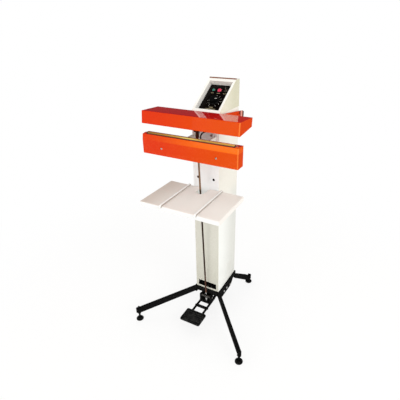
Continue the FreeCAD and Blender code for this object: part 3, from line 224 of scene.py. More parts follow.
class Signal:
    """A shader output; arithmetic on it adds the Math nodes."""

    def __init__(self, finish, socket):
        self.finish = finish
        self.socket = socket

    def maths(self, operation, *values, clamp=False):
        choices = {"operation": operation, "use_clamp": clamp}
        return self.finish.node("ShaderNodeMath", choices, dict(enumerate(values)))

    def __add__(self, other):
        return self.maths("ADD", self, other)

    __radd__ = __add__

    def __sub__(self, other):
        return self.maths("SUBTRACT", self, other)

    def __rsub__(self, other):
        return self.maths("SUBTRACT", other, self)

    def __mul__(self, other):
        return self.maths("MULTIPLY", self, other)

    __rmul__ = __mul__

    def __truediv__(self, other):
        return self.maths("DIVIDE", self, other)

    def __abs__(self):
        return self.maths("ABSOLUTE", self)

    def wave(self, pitch):
        """A sine of the value that repeats every pitch."""
        return self.maths("SINE", self * (FULL_TURN / pitch))

    def clamped(self):
        """The value held between 0 and 1."""
        return self.maths("ADD", self, 0.0, clamp=True)

    def between(self, low, high):
        """0 below low, 1 above high, smooth in between."""
        return self.finish.node("ShaderNodeMapRange", {"interpolation_type": "SMOOTHSTEP"},
                                {0: self, 1: low, 2: high, 3: 0.0, 4: 1.0})


class Finish:
    """The nodes of one material or of the world, all added by node()."""

    SOCKETS = {"metallic": "Metallic", "gloss": "Specular IOR Level", "coat": "Coat Weight",
               "coat_roughness": "Coat Roughness", "coat_ior": "Coat IOR",
               "glow": "Emission Color", "glow_strength": "Emission Strength"}

    def __init__(self, name, owner=None):
        self.owner = owner or bpy.data.materials.new(name)
        self.owner.use_nodes = True
        self.tree = self.owner.node_tree
        self.tree.nodes.clear()
        self.place = self.node("ShaderNodeTexCoord", output="Generated" if owner else "Object")

    def node(self, kind, choices=None, values=None, output=0):
        """Adds a node: its choices first, then values or links; returns one output."""
        made = self.tree.nodes.new(kind)
        for name, value in (choices or {}).items():
            if name == "stops":
                self.set_stops(made.color_ramp, value)
            else:
                setattr(made, name, value)
        for key, value in (values or {}).items():
            if isinstance(value, Signal):
                self.tree.links.new(value.socket, made.inputs[key])
            else:
                made.inputs[key].default_value = value
        return Signal(self, made.outputs[output]) if made.outputs else None

    @staticmethod
    def set_stops(ramp, stops):
        while len(ramp.elements) < len(stops):
            ramp.elements.new(1.0)
        for element, (position, colour) in zip(ramp.elements, stops):
            element.position = position
            element.color = (*colour, 1.0)

    def mix(self, factor, first, second):
        """A colour between two colours, each a colour or a signal."""
        first, second = (c if isinstance(c, Signal) else (*c, 1.0) for c in (first, second))
        return self.node("ShaderNodeMix", {"data_type": "RGBA"},
                         {0: factor, 6: first, 7: second}, output=2)

    def ramp(self, factor, *stops):
        """A colour read from (position, colour) stops."""
        return self.node("ShaderNodeValToRGB", {"stops": stops}, {0: factor})

    def noise(self, scale, detail=2.0, rough=0.5, stretch=(1.0, 1.0, 1.0)):
        """Noise over the object's metres, stretched along its axes if asked."""
        place = self.node("ShaderNodeMapping", values={"Vector": self.place, "Scale": stretch})
        return self.node("ShaderNodeTexNoise", values={
            "Vector": place, "Scale": scale, "Detail": detail, "Roughness": rough})

    def axis(self, name):
        """One coordinate of the object, in metres."""
        return self.node("ShaderNodeSeparateXYZ", values={0: self.place}, output=name)

    def facing(self, name):
        """How far the surface faces along one axis, from -1 to 1."""
        normal = self.node("ShaderNodeNewGeometry", output="Normal")
        return self.node("ShaderNodeSeparateXYZ", values={0: normal}, output=name)

    def edges(self):
        """How convex the surface is, 0.5 where it is flat."""
        return self.node("ShaderNodeNewGeometry", output="Pointiness")

    def bump(self, height, distance, strength=1.0):
        """A normal bent by a height."""
        return self.node("ShaderNodeBump", values={
            "Strength": strength, "Distance": distance, "Height": height})

    def end(self, shader, kind="ShaderNodeOutputMaterial"):
        """Joins the shader to the output and returns what owns the nodes."""
        self.node(kind, values={0: shader})
        return self.owner

    def done(self, base, roughness, normal=None, **fixed):
        """Ends the material in one Principled shader; fixed values go by short names."""
        values = {"Base Color": base if isinstance(base, Signal) else (*base, 1.0),
                  "Roughness": roughness}
        if normal:
            values["Normal"] = normal
        for name, value in fixed.items():
            values[self.SOCKETS[name]] = value
        return self.end(self.node("ShaderNodeBsdfPrincipled", values=values))


def shade(colour, share):
    """A colour made lighter or darker."""
    return tuple(min(1.0, channel * share) for channel in colour)


def mixed(first, second, share):
    """A colour part of the way from one colour to another."""
    return tuple(a + (b - a) * share for a, b in zip(first, second))


# Finishes

def jaw_tones(look, tone):
    """Painted light on the jaws: painted shade makes them redder at the left and more orange at the
    right, with painted highlights on the leaning band and the right front fold, painted shade on
    the right ends, and crimson tops as painted shade with a painted reflection of the white box.
    """
    jaw, top = settings().colours.jaw, settings().colours.jaw_top
    # Painted shade along the jaws: redder and darker at the left, more orange at the right.
    along = look.axis("X").between(-0.22, 0.2)
    tone = look.mix(along, mixed(jaw, (0.70, 0.040, 0.014), 0.7),
                    mixed(jaw, (0.72, 0.088, 0.005), 0.6))
    height = look.axis("Z")
    # Painted highlight on the leaning band of the lower jaw, brighter towards the right.
    leaning_highlight = height.between(0.963, 0.967) * (1.0 - height.between(0.988, 0.990))
    tone = look.mix(leaning_highlight * (0.05 + 0.8 * along), tone, (0.90, 0.17, 0.012))
    # Painted highlight down the right front fold.
    fold_highlight = look.axis("X").between(0.2120, 0.2135) * (look.facing("Y") * -1.0).between(0.5, 0.8)
    tone = look.mix(fold_highlight * 0.55, tone, (0.98, 0.30, 0.06))
    # Painted shade on the faces that look right.
    tone = look.mix(look.facing("X").between(0.7, 0.95) * 0.5, tone, shade(jaw, 0.9))
    # Crimson tops as painted shade, lighter towards the right as a painted reflection of the white
    # box.
    crown = look.mix(look.axis("X").between(-0.05, 0.20), tuple(top), (0.62, 0.010, 0.006))
    return look.mix(look.facing("Z").between(0.6, 0.95), tone, crown)


def tail_tones(look, tone):
    """The yoke's orange ends in a dark red tail of painted shade, with one pale stripe of painted
    highlight.
    """
    # Painted shade and highlight on the tail: dark red bands either side of a pale painted
    # highlight stripe.
    tail_shade_and_highlight = look.ramp(look.axis("Y") + 0.8, (0.945, (0.20, 0.02, 0.006)),
                     (0.958, (0.09, 0.007, 0.004)), (0.966, (0.70, 0.28, 0.24)),
                     (0.978, (0.76, 0.36, 0.28)),
                     (0.985, (0.08, 0.005, 0.004)), (1.0, (0.03, 0.003, 0.002)))
    return look.mix(look.axis("Y").between(0.142, 0.147), jaw_tones(look, tone), tail_shade_and_highlight)


def column_tones(look, tone):
    """Painted light on the column: the front is painted whiter high above the table and greyer
    towards the floor as painted shade; below the table the sides are painted lighter at the front
    and darker towards the rear.
    """
    height = look.axis("Z")
    forward = (look.facing("Y") * -1.0).between(0.6, 0.95)
    sideways = abs(look.facing("X")).between(0.6, 0.95)
    above = height.between(0.60, 0.72)
    # Painted shade on the sides below the table, darker towards the rear.
    flank = look.mix(look.axis("Y").between(-0.03, 0.13), (0.88, 0.90, 0.88), (0.68, 0.69, 0.655))
    tone = look.mix(sideways * (1.0 - above), tone, flank)
    # Painted shade on the front below the table, darker towards the floor.
    low_front = look.mix(height.between(0.15, 0.60), (0.60, 0.595, 0.515), (0.66, 0.655, 0.59))
    tone = look.mix(forward * (1.0 - above), tone, low_front)
    # Painted light: the front above the table whiter and cooler.
    return look.mix(forward * above, tone, (0.93, 0.965, 0.985))


def box_tones(look, tone):
    """White where it leans back; painted shade on its two outer sides, ivory and darker towards the
    rear.
    """
    outside = abs(look.facing("X")).between(0.6, 0.95) * abs(look.axis("X")).between(0.0635, 0.0642)
    # Painted shade on the outer sides, darker towards the rear.
    side_shade = look.mix(look.axis("Y").between(-0.02, 0.12), (0.78, 0.76, 0.62), (0.62, 0.605, 0.45))
    return look.mix(outside, tone, side_shade)


def table_tones(look, tone):
    """Darker towards the left end; faces that look forward are a cool near-white."""
    tone = look.mix(look.axis("X").between(-0.19, -0.03), (0.655, 0.585, 0.53), tone)
    forward = (look.facing("Y") * -1.0).between(0.6, 0.95)
    return look.mix(forward, tone, (0.84, 0.85, 0.86))


def bead_tones(look, tone):
    """Painted shade on the beads' right-hand flanks."""
    return look.mix(look.facing("X").between(0.6, 0.9), tone, (0.36, 0.31, 0.27))


def enamel(name, colour, roughness=0.30, tones=None, rim=None, dust=0.0, coat=0.2, gloss=0.1,
           worn=0.7, glaze=0.0, coat_ior=1.5):
    """Stoved enamel: slow drift of tone, orange peel, rubbed edges lightened partly as wear and
    partly as a painted edge highlight, dust where it lies.

    The glaze is clear lacquer that has run together on the faces that look up.
    """
    look = Finish(name)
    tone = tones(look, colour) if tones else colour
    tone = look.mix(look.noise(4.0, 3.0).between(0.3, 0.7) * 0.07, tone, shade(colour, 0.5))
    # Rubbed edges: worn paint, and with a light rim colour also a painted edge highlight.
    rubbed = look.edges().between(0.52, 0.60) * look.noise(220.0, 4.0).between(0.42, 0.62)
    tone = look.mix(rubbed * worn, tone, rim or shade(colour, 1.4))
    smudge = look.noise(11.0, 5.0, 0.62).between(0.42, 0.74)
    if dust:
        lying = look.facing("Z").between(0.4, 1.0) * look.noise(70.0, 5.0).between(0.35, 0.7)
        tone = look.mix(lying * dust, tone, (0.30, 0.28, 0.25))
    peel = look.noise(620.0, 1.5) * 0.5 + look.noise(90.0, 2.0)
    if glaze:
        coat = coat + glaze * look.facing("Z").between(0.6, 0.95)
    return look.done(tone, roughness + 0.14 * smudge, look.bump(peel, 0.02 * MM, 0.5),
                     coat=coat, coat_roughness=0.0, coat_ior=coat_ior, gloss=gloss)


def bare_metal(name, colour, roughness=0.3, stretch=(1.0, 1.0, 1.0), stain=None):
    """Bare or plated steel: drawn grain, cloudy plating and some stain."""
    look = Finish(name)
    grain = look.noise(420.0, 4.0, 0.6, stretch)
    tone = look.mix(grain.between(0.3, 0.7), shade(colour, 0.82), shade(colour, 1.1))
    if stain:
        tone = look.mix(look.noise(38.0, 4.0, 0.6).between(0.48, 0.72), tone, stain)
    return look.done(tone, roughness + 0.18 * grain, look.bump(grain, 0.02 * MM, 0.7),
                     metallic=1.0)


def browned_steel(name):
    """The pull rod's bar: light brown above the table and dark below it as painted shade, darker
    again at its top and lighter near its foot.
    """
    look = Finish(name)
    # Dark below the table as painted shade; darker at the top and lighter near the foot.
    colour = look.ramp(look.axis("Z"), (0.10, (0.20, 0.10, 0.065)), (0.17, (0.10, 0.038, 0.022)),
                       (0.30, (0.025, 0.008, 0.004)), (0.736, (0.02, 0.007, 0.004)),
                       (0.746, (0.29, 0.17, 0.095)), (0.93, (0.24, 0.13, 0.07)),
                       (0.955, (0.07, 0.02, 0.012)))
    streak = look.noise(260.0, 4.0, 0.6, (1.0, 1.0, 0.03))
    patch = look.noise(24.0, 3.0, 0.5, (1.0, 1.0, 0.3))
    tone = look.mix(patch.between(0.35, 0.65) * 0.3, colour, (0.05, 0.02, 0.012))
    tone = look.mix(streak.between(0.56, 0.72) * 0.3, tone, (0.52, 0.36, 0.24))
    return look.done(tone, 0.36 + 0.2 * patch, look.bump(streak, 0.03 * MM, 0.8),
                     metallic=0.3, gloss=0.2)


def rubber(name, colour, grain=700.0, scuff=0.5):
    """Moulded rubber: fine grain, greyed where shoes or the floor have rubbed it."""
    look = Finish(name)
    rubbed = look.edges().between(0.505, 0.58) * look.noise(150.0, 5.0).between(0.35, 0.65)
    greyed = look.noise(45.0, 5.0, 0.65).between(0.45, 0.75) * look.facing("Z").between(0.3, 0.9)
    tone = look.mix((rubbed * 0.6 + greyed * scuff).clamped(), colour,
                    mixed(colour, (0.075, 0.073, 0.07), 0.4))
    height = look.noise(grain, 3.0) + look.noise(90.0, 2.0) * 0.5
    return look.done(tone, 0.62 + 0.2 * greyed, look.bump(height, 0.06 * MM, 0.7), gloss=0.08)


def moulded_plastic(name, colour, roughness=0.3, grain=1500.0):
    """Moulded plastic: very fine grain and finger marks."""
    look = Finish(name)
    marks = look.noise(60.0, 5.0, 0.6).between(0.4, 0.75)
    tone = look.mix(marks * 0.35, colour, mixed(colour, (1.0, 1.0, 1.0), 0.008))
    return look.done(tone, roughness + 0.2 * marks, look.bump(look.noise(grain, 2.0),
                                                              0.02 * MM, 0.6),
                     coat=0.08, coat_roughness=0.0, gloss=0.03)


def printed_ink(name, colour):
    """Screen-printed ink, a little worn."""
    look = Finish(name)
    worn = look.noise(900.0, 4.0).between(0.58, 0.72)
    return look.done(look.mix(worn * 0.5, colour, shade(colour, 0.5)), 0.5,
                     look.bump(look.noise(1200.0, 2.0), 0.01 * MM))


def lamp_lens(name, colour, core):
    """A coloured lens over a lit lamp: fine prisms, lighter towards its middle."""
    look = Finish(name)
    prism = look.noise(900.0, 1.0)
    tone = look.mix(look.edges().between(0.48, 0.56), colour, core)
    glow = look.mix(prism.between(0.3, 0.7), shade(colour, 0.9), core)
    return look.done(tone, 0.14 + 0.1 * prism, look.bump(prism, 0.03 * MM, 0.5),
                     glow=glow, glow_strength=0.25, coat=0.6, coat_roughness=0.06)


def glass_cloth(name):
    """Amber glass cloth over the heating strip: weave, darker flanks, marks of heat, a darker left
    part and a painted highlight across its middle.
    """
    look = Finish(name)
    low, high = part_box("cover_strip")
    rise = (look.axis("Z") - low.z) / (high.z - low.z)
    weave = abs(look.axis("X").wave(1.3 * MM)) * abs(look.axis("Y").wave(1.3 * MM))
    tone = look.ramp(rise.clamped(), (0.0, (0.045, 0.022, 0.008)), (0.42, (0.09, 0.040, 0.010)),
                     (0.60, (0.46, 0.22, 0.025)), (0.84, (0.78, 0.44, 0.06)),
                     (1.0, (0.95, 0.66, 0.16)))
    heat = look.noise(26.0, 4.0, 0.6, (1.0, 6.0, 1.0)).between(0.5, 0.78)
    along = look.axis("X")
    # A darker tone towards the left end.
    left_dark_tone = look.mix(0.6, tone, (0.13, 0.07, 0.02))
    tone = look.mix(1.0 - along.between(-0.21, -0.03), tone, left_dark_tone)
    tone = look.mix(heat * 0.4, tone, (0.36, 0.17, 0.03))
    # Painted highlight across the middle of the crown.
    painted_highlight = along.between(-0.06, -0.01) * (1.0 - along.between(0.01, 0.06)) * rise.between(0.5, 0.8)
    tone = look.mix(painted_highlight * 0.8, tone, (1.0, 0.88, 0.24))
    tip = abs(look.axis("X")).between(0.1955, 0.1962)
    tone = look.mix(tip, tone, (0.02, 0.015, 0.012))
    return look.done(tone, 0.32 + 0.25 * weave, look.bump(weave, 0.05 * MM, 0.8),
                     coat=0.35, coat_roughness=0.25)


def laminations(name):
    """Varnished transformer sheets on edge."""
    look = Finish(name)
    layer = look.axis("Y").wave(1.0 * MM)
    rust = look.noise(120.0, 4.0).between(0.55, 0.7)
    tone = look.mix(layer.between(-0.4, 0.4), (0.05, 0.045, 0.04), (0.20, 0.17, 0.15))
    return look.done(look.mix(rust * 0.6, tone, (0.22, 0.09, 0.04)), 0.5,
                     look.bump(layer, 0.1 * MM), metallic=0.6)


def winding(name):
    """Lacquered copper wire wound in layers."""
    look = Finish(name)
    turn = look.axis("Z").wave(1.1 * MM)
    tone = look.mix(turn.between(-0.5, 0.5), (0.24, 0.07, 0.025), (0.66, 0.28, 0.10))
    return look.done(tone, 0.35, look.bump(turn, 0.2 * MM), metallic=0.7)


def circuit_board(name):
    """Green lacquered board with its copper tracks showing through."""
    look = Finish(name)
    tracks = look.node("ShaderNodeTexBrick", {"offset": 0.35}, {
        "Vector": look.place, "Scale": 130.0, "Mortar Size": 0.06}, output="Fac")
    tone = look.mix(tracks * 0.6, (0.02, 0.16, 0.07), (0.10, 0.34, 0.13))
    return look.done(tone, 0.35, look.bump(tracks, 0.03 * MM), coat=0.5)


def light_paths(look):
    """Whether a ray comes from the camera, a glossy bounce or through glass."""
    return [look.node("ShaderNodeLightPath", output="Is " + kind + " Ray")
            for kind in ("Camera", "Glossy", "Transmission")]


def studio_floor(name):
    """White paper that keeps a soft shadow and fades into the studio's walls."""
    look = Finish(name)
    backdrop = (*settings().studio.backdrop, 1.0)
    seen, mirrored, through = light_paths(look)
    seen = (seen + through + mirrored * 0.35).clamped()
    away = look.node("ShaderNodeVectorMath", {"operation": "LENGTH"}, {0: look.place}, output=1)
    share = seen * (0.80 + 0.20 * away.between(0.6, 1.8))
    fibres = look.noise(300.0, 3.0).between(0.2, 0.8)
    paper = look.node("ShaderNodeBsdfDiffuse", values={
        0: look.mix(fibres, shade(backdrop[:3], 0.90), shade(backdrop[:3], 0.93))})
    white = look.node("ShaderNodeEmission", values={0: backdrop, 1: 1.0})
    return look.end(look.node("ShaderNodeMixShader", values={0: share, 1: paper, 2: white}))


def painted(name):
    """One of the enamel colours that a user may change."""
    return tuple(getattr(settings().colours, name))


# Every finish by name, with what makes it
FINISHES = {
    # The orange's light rim colour is a painted edge highlight as well as wear.
    "orange": lambda n: enamel(n, painted("jaw"), 0.35, jaw_tones, rim=(0.95, 0.30, 0.10),
                               coat=0.04, gloss=0.0, worn=0.12, glaze=0.9, coat_ior=1.7),
    "orange_tail": lambda n: enamel(n, painted("jaw"), 0.35, tail_tones, coat=0.05, gloss=0.0,
                                    worn=0.12),
    "cream": lambda n: enamel(n, painted("column"), 0.34, column_tones,
                              rim=(0.92, 0.91, 0.88), coat=0.1, worn=0.15),
    "box_cream": lambda n: enamel(n, (0.93, 0.92, 0.88), 0.34, box_tones,
                                  rim=(0.96, 0.96, 0.94), coat=0.1, worn=0.2),
    "table": lambda n: enamel(n, painted("table"), 0.30, table_tones,
                              rim=(0.93, 0.92, 0.89), coat=0.1, worn=0.2),
    "bead": lambda n: enamel(n, (0.94, 0.94, 0.92), 0.25, bead_tones, coat=0.1),
    "black": lambda n: enamel(n, painted("base"), 0.42, rim=(0.035, 0.035, 0.035), dust=0.008,
                              coat=0.02, gloss=0.0),
    "zinc": lambda n: bare_metal(n, (0.66, 0.67, 0.66), 0.26, stain=(0.60, 0.55, 0.40)),
    "bright": lambda n: bare_metal(n, (0.80, 0.80, 0.79), 0.16),
    "chrome": lambda n: bare_metal(n, (0.88, 0.88, 0.89), 0.06),
    "blacked": lambda n: bare_metal(n, (0.012, 0.012, 0.013), 0.45),
    "browned": browned_steel,
    "aluminium": lambda n: bare_metal(n, (0.72, 0.72, 0.73), 0.34, (0.02, 1.0, 1.0)),
    "dark_steel": lambda n: bare_metal(n, (0.10, 0.095, 0.09), 0.2),
    "smoked": lambda n: bare_metal(n, (0.34, 0.31, 0.26), 0.35),
    "foot_rubber": lambda n: rubber(n, (0.004, 0.004, 0.004)),
    "tread_rubber": lambda n: rubber(n, (0.004, 0.0045, 0.005), 500.0, 0.8),
    "sheath": lambda n: rubber(n, (0.006, 0.006, 0.006), 300.0, 0.2),
    "silicone": lambda n: rubber(n, (0.42, 0.085, 0.045), 900.0, 0.1),
    "panel": lambda n: moulded_plastic(n, (0.0035, 0.002, 0.0015), 0.36),
    "knob": lambda n: moulded_plastic(n, (0.004, 0.004, 0.004), 0.4),
    "gland": lambda n: moulded_plastic(n, (0.012, 0.012, 0.013), 0.45),
    "ink": lambda n: printed_ink(n, (0.80, 0.78, 0.72)),
    "ink_dim": lambda n: printed_ink(n, (0.45, 0.37, 0.22)),
    "trim": lambda n: rubber(n, (0.24, 0.085, 0.04), 500.0, 0.1),
    "rusty": lambda n: rubber(n, (0.95, 0.42, 0.30), 400.0, 0.1),
    "red_lens": lambda n: lamp_lens(n, (0.56, 0.008, 0.05), (0.76, 0.04, 0.11)),
    "green_lens": lambda n: lamp_lens(n, (0.008, 0.12, 0.085), (0.035, 0.24, 0.18)),
    "film": glass_cloth,
    "laminations": laminations,
    "winding": winding,
    "board": circuit_board,
    "floor": studio_floor,
}
made_finishes = {}


def finish(name):
    """The named finish, made the first time it is asked for."""
    if name not in made_finishes:
        made_finishes[name] = FINISHES[name](name)
    return made_finishes[name]


# Mesh work

class Piece:
    """One visible piece while it is built; each shape wears the finish that is on."""

    def __init__(self, name, finish_name):
        self.name = name
        self.mesh = bmesh.new()
        self.finishes = []
        self.wear(finish_name)

    def wear(self, finish_name):
        """Faces added from here on have this finish."""
        if finish_name not in self.finishes:
            self.finishes.append(finish_name)
        self.index = self.finishes.index(finish_name)
        return self

    def face(self, corners):
        corners = list(dict.fromkeys(corners))
        if len(corners) > 2:
            self.mesh.faces.new(corners).material_index = self.index

    def skin(self, rows, capped=True, ring=True):
        """Joins rows of points with quads; a row may be a single point."""
        rows = [[self.mesh.verts.new(point) for point in row] for row in rows]
        count = max(len(row) for row in rows)
        for lower, upper in zip(rows, rows[1:]):
            for k in range(count if ring else count - 1):
                n = k + 1
                self.face([lower[k % len(lower)], lower[n % len(lower)],
                           upper[n % len(upper)], upper[k % len(upper)]])
        if capped:
            self.face(rows[0][::-1])
            self.face(rows[-1])
        return self

    def lathe(self, place, profile, sides=32, capped=True):
        """Turns a profile of (radius, height) round the place's Z axis."""
        rows = []
        for radius, height in profile:
            turns = range(sides) if radius > 0 else range(1)
            rows.append([place @ Vector((radius * math.cos(FULL_TURN * k / sides),
                                         radius * math.sin(FULL_TURN * k / sides), height))
                         for k in turns])
        return self.skin(rows, capped)

    def block(self, low, high, place=Matrix()):
        """A box between two corners of a place."""
        rows = []
        for z in (low[2], high[2]):
            rows.append([place @ Vector(corner) for corner in (
                (low[0], low[1], z), (high[0], low[1], z),
                (high[0], high[1], z), (low[0], high[1], z))])
        return self.skin(rows)

    def hexagon(self, place, width, height, bore=0.0):
        """A nut or bolt head, its corners cut by the usual 30 degree cone."""
        sides, flat, slope = 48, width / 2, math.tan(math.radians(30))
        turns = [FULL_TURN * k / sides for k in range(sides)]
        wall = [flat / math.cos((turn + math.pi / 6) % (math.pi / 3) - math.pi / 6)
                for turn in turns]
        crown = flat * 0.96

        def row(radii, heights):
            return [place @ Vector((r * math.cos(turn), r * math.sin(turn), h))
                    for turn, r, h in zip(turns, radii, heights)]

        fall = [(radius - crown) * slope for radius in wall]
        rows = [row([crown] * sides, [0.0] * sides), row(wall, fall),
                row(wall, [height - drop for drop in fall]), row([crown] * sides, [height] * sides)]
        if bore:
            inner = [bore / 2] * sides
            rows = [row(inner, [0.0] * sides)] + rows + [row(inner, [height] * sides)]
            return self.skin(rows + rows[:1], capped=False)
        return self.skin(rows)

    def thread(self, place, diameter, pitch, length, depth, sides=24, steps=6):
        """A threaded stretch: the radius follows the helix."""
        rows = []
        for i in range(round(length / pitch * steps) + 1):
            height = min(length, i * pitch / steps)
            row = []
            for k in range(sides):
                phase = (height / pitch - k / sides) % 1.0
                radius = diameter / 2 - depth * abs(2 * phase - 1)
                turn = FULL_TURN * k / sides
                row.append(place @ Vector((radius * math.cos(turn), radius * math.sin(turn),
                                           height)))
            rows.append(row)
        return self.skin(rows)

    def tube(self, points, radius, sides=10, closed=False):
        """A round wire along points; radius may be a function of the point's number."""
        rows, side = [], None
        count = len(points)
        for i, point in enumerate(points):
            before = points[i - 1] if i or closed else point
            after = points[(i + 1) % count] if i + 1 < count or closed else point
            way = (after - before).normalized()
            side = side or way.orthogonal()
            side = (side - way * side.dot(way)).normalized()
            other = way.cross(side)
            reach = radius(i) if callable(radius) else radius
            rows.append([point + (side * math.cos(FULL_TURN * k / sides)
                                  + other * math.sin(FULL_TURN * k / sides)) * reach
                         for k in range(sides)])
        if closed:
            rows.append(rows[0])
        return self.skin(rows, capped=not closed)

    def stamp(self, mesh, place):
        """Adds a copy of a ready mesh."""
        first = len(self.mesh.faces)
        copy = mesh.copy()
        copy.transform(place)
        self.mesh.from_mesh(copy)
        bpy.data.meshes.remove(copy)
        self.mesh.faces.ensure_lookup_table()
        for face in self.mesh.faces[first:]:
            face.material_index = self.index
        return self

    def take(self, node):
        """Adds the shape of a CAD node."""
        copy = welded_copy(node)
        mesh = bpy.data.meshes.new("taken")
        copy.to_mesh(mesh)
        copy.free()
        self.stamp(mesh, Matrix())
        bpy.data.meshes.remove(mesh)
        return self

    def done(self, *nodes, body=None, edge=0.0, smooth=38.0, ride=True):
        """Makes the object, rounds its edges and gives it its material slots and its body, by
        default that of its first CAD node.
        """
        bmesh.ops.remove_doubles(self.mesh, verts=self.mesh.verts, dist=0.001 * MM)
        bmesh.ops.recalc_face_normals(self.mesh, faces=self.mesh.faces)
        mesh = bpy.data.meshes.new(self.name)
        self.mesh.to_mesh(mesh)
        self.mesh.free()
        for name in self.finishes:
            mesh.materials.append(finish(name))
        piece = bpy.data.objects.new(self.name, mesh)
        bpy.context.scene.collection.objects.link(piece)
        if edge:
            round_edges(piece, edge)
        smooth_faces(piece, smooth)
        if ride:
            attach(piece, body or frame["nodes"][nodes[0]]["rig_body"])
        return piece

    def instead_of(self, *nodes, **ways):
        """Finishes the piece and hides the CAD nodes that it stands for."""
        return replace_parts(self.done(*nodes, **ways), *nodes)


def bake_modifiers(piece):
    """Turns what the piece's modifiers make into its mesh."""
    graph = bpy.context.evaluated_depsgraph_get()
    baked = bpy.data.meshes.new_from_object(piece.evaluated_get(graph))
    piece.modifiers.clear()
    old, piece.data = piece.data, baked
    bpy.data.meshes.remove(old)


def round_edges(piece, width):
    """Rounds every edge sharper than a facet of a turned face."""
    bevel = piece.modifiers.new("edges", "BEVEL")
    bevel.width = width
    bevel.segments = settings().edges.segments
    bevel.limit_method = "ANGLE"
    bevel.angle_limit = math.radians(34)
    bevel.use_clamp_overlap = True
    bake_modifiers(piece)


def smooth_faces(piece, angle):
    """Smooth shading that keeps flat faces flat and sharp edges sharp."""
    piece.data.shade_smooth()
    piece.data.set_sharp_from_angle(angle=math.radians(angle))
    weighted = piece.modifiers.new("flats", "WEIGHTED_NORMAL")
    weighted.keep_sharp = True
    bake_modifiers(piece)


def stamp_curve(piece, curve, place):
    """Adds the surface of a text or a bevelled curve to a piece."""
    holder = bpy.data.objects.new(curve.name, curve)
    bpy.context.scene.collection.objects.link(holder)
    graph = bpy.context.evaluated_depsgraph_get()
    mesh = bpy.data.meshes.new_from_object(holder.evaluated_get(graph))
    piece.stamp(mesh, place)
    bpy.data.objects.remove(holder)
    bpy.data.meshes.remove(mesh)


def screw_head(diameter, height, recess):
    """A domed head whose driving recess is cut out: a cross, a slot or a hexagon."""
    head = Piece("head", "zinc")
    radius = diameter / 2
    ball = (radius * radius + height * height) / (2 * height)
    steps = 7
    profile = [(0.0, -0.2 * height), (radius, -0.2 * height)]
    for k in range(steps):
        r = radius * math.cos(math.pi / 2 * k / steps)
        profile.append((r, math.sqrt(ball * ball - r * r) - ball + height))
    head.lathe(Matrix(), profile + [(0.0, height)], capped=False)
    cutter = Piece("cutter", "zinc")
    floor, reach = height * 0.42, radius * 0.56
    slim = radius * 0.13
    if recess == "hexagon":
        cutter.hexagon(Matrix.Translation((0, 0, floor)), radius * 0.95, height)
    elif recess == "slot":
        cutter.block((-slim, -reach, floor), (slim, reach, height * 1.2))
    else:
        arm = [(reach, -slim), (reach, slim), (slim, slim)]
        cross = []
        for quarter in range(4):
            turned = Matrix.Rotation(math.pi / 2 * quarter, 3, "Z")
            cross += [turned @ Vector((x, y, 0.0)) for x, y in arm]
        cutter.skin([[point + UP * z for point in cross] for z in (floor, height * 1.2)])
    solids = []
    for part in (head, cutter):
        bmesh.ops.remove_doubles(part.mesh, verts=part.mesh.verts, dist=0.001 * MM)
        bmesh.ops.recalc_face_normals(part.mesh, faces=part.mesh.faces)
        mesh = bpy.data.meshes.new(part.name)
        part.mesh.to_mesh(mesh)
        part.mesh.free()
        solid = bpy.data.objects.new(part.name, mesh)
        bpy.context.scene.collection.objects.link(solid)
        solids.append(solid)
    cut = solids[0].modifiers.new("recess", "BOOLEAN")
    cut.object, cut.operation, cut.solver = solids[1], "DIFFERENCE", "EXACT"
    bake_modifiers(solids[0])
    mesh = solids[0].data
    for solid in solids:
        bpy.data.objects.remove(solid)
    return mesh


def soften(node, name, finish_name, edge):
    """A piece with a CAD node's own shape and rounded edges."""
    return Piece(name, finish_name).take(node).instead_of(node, edge=edge)


# Groups of pieces

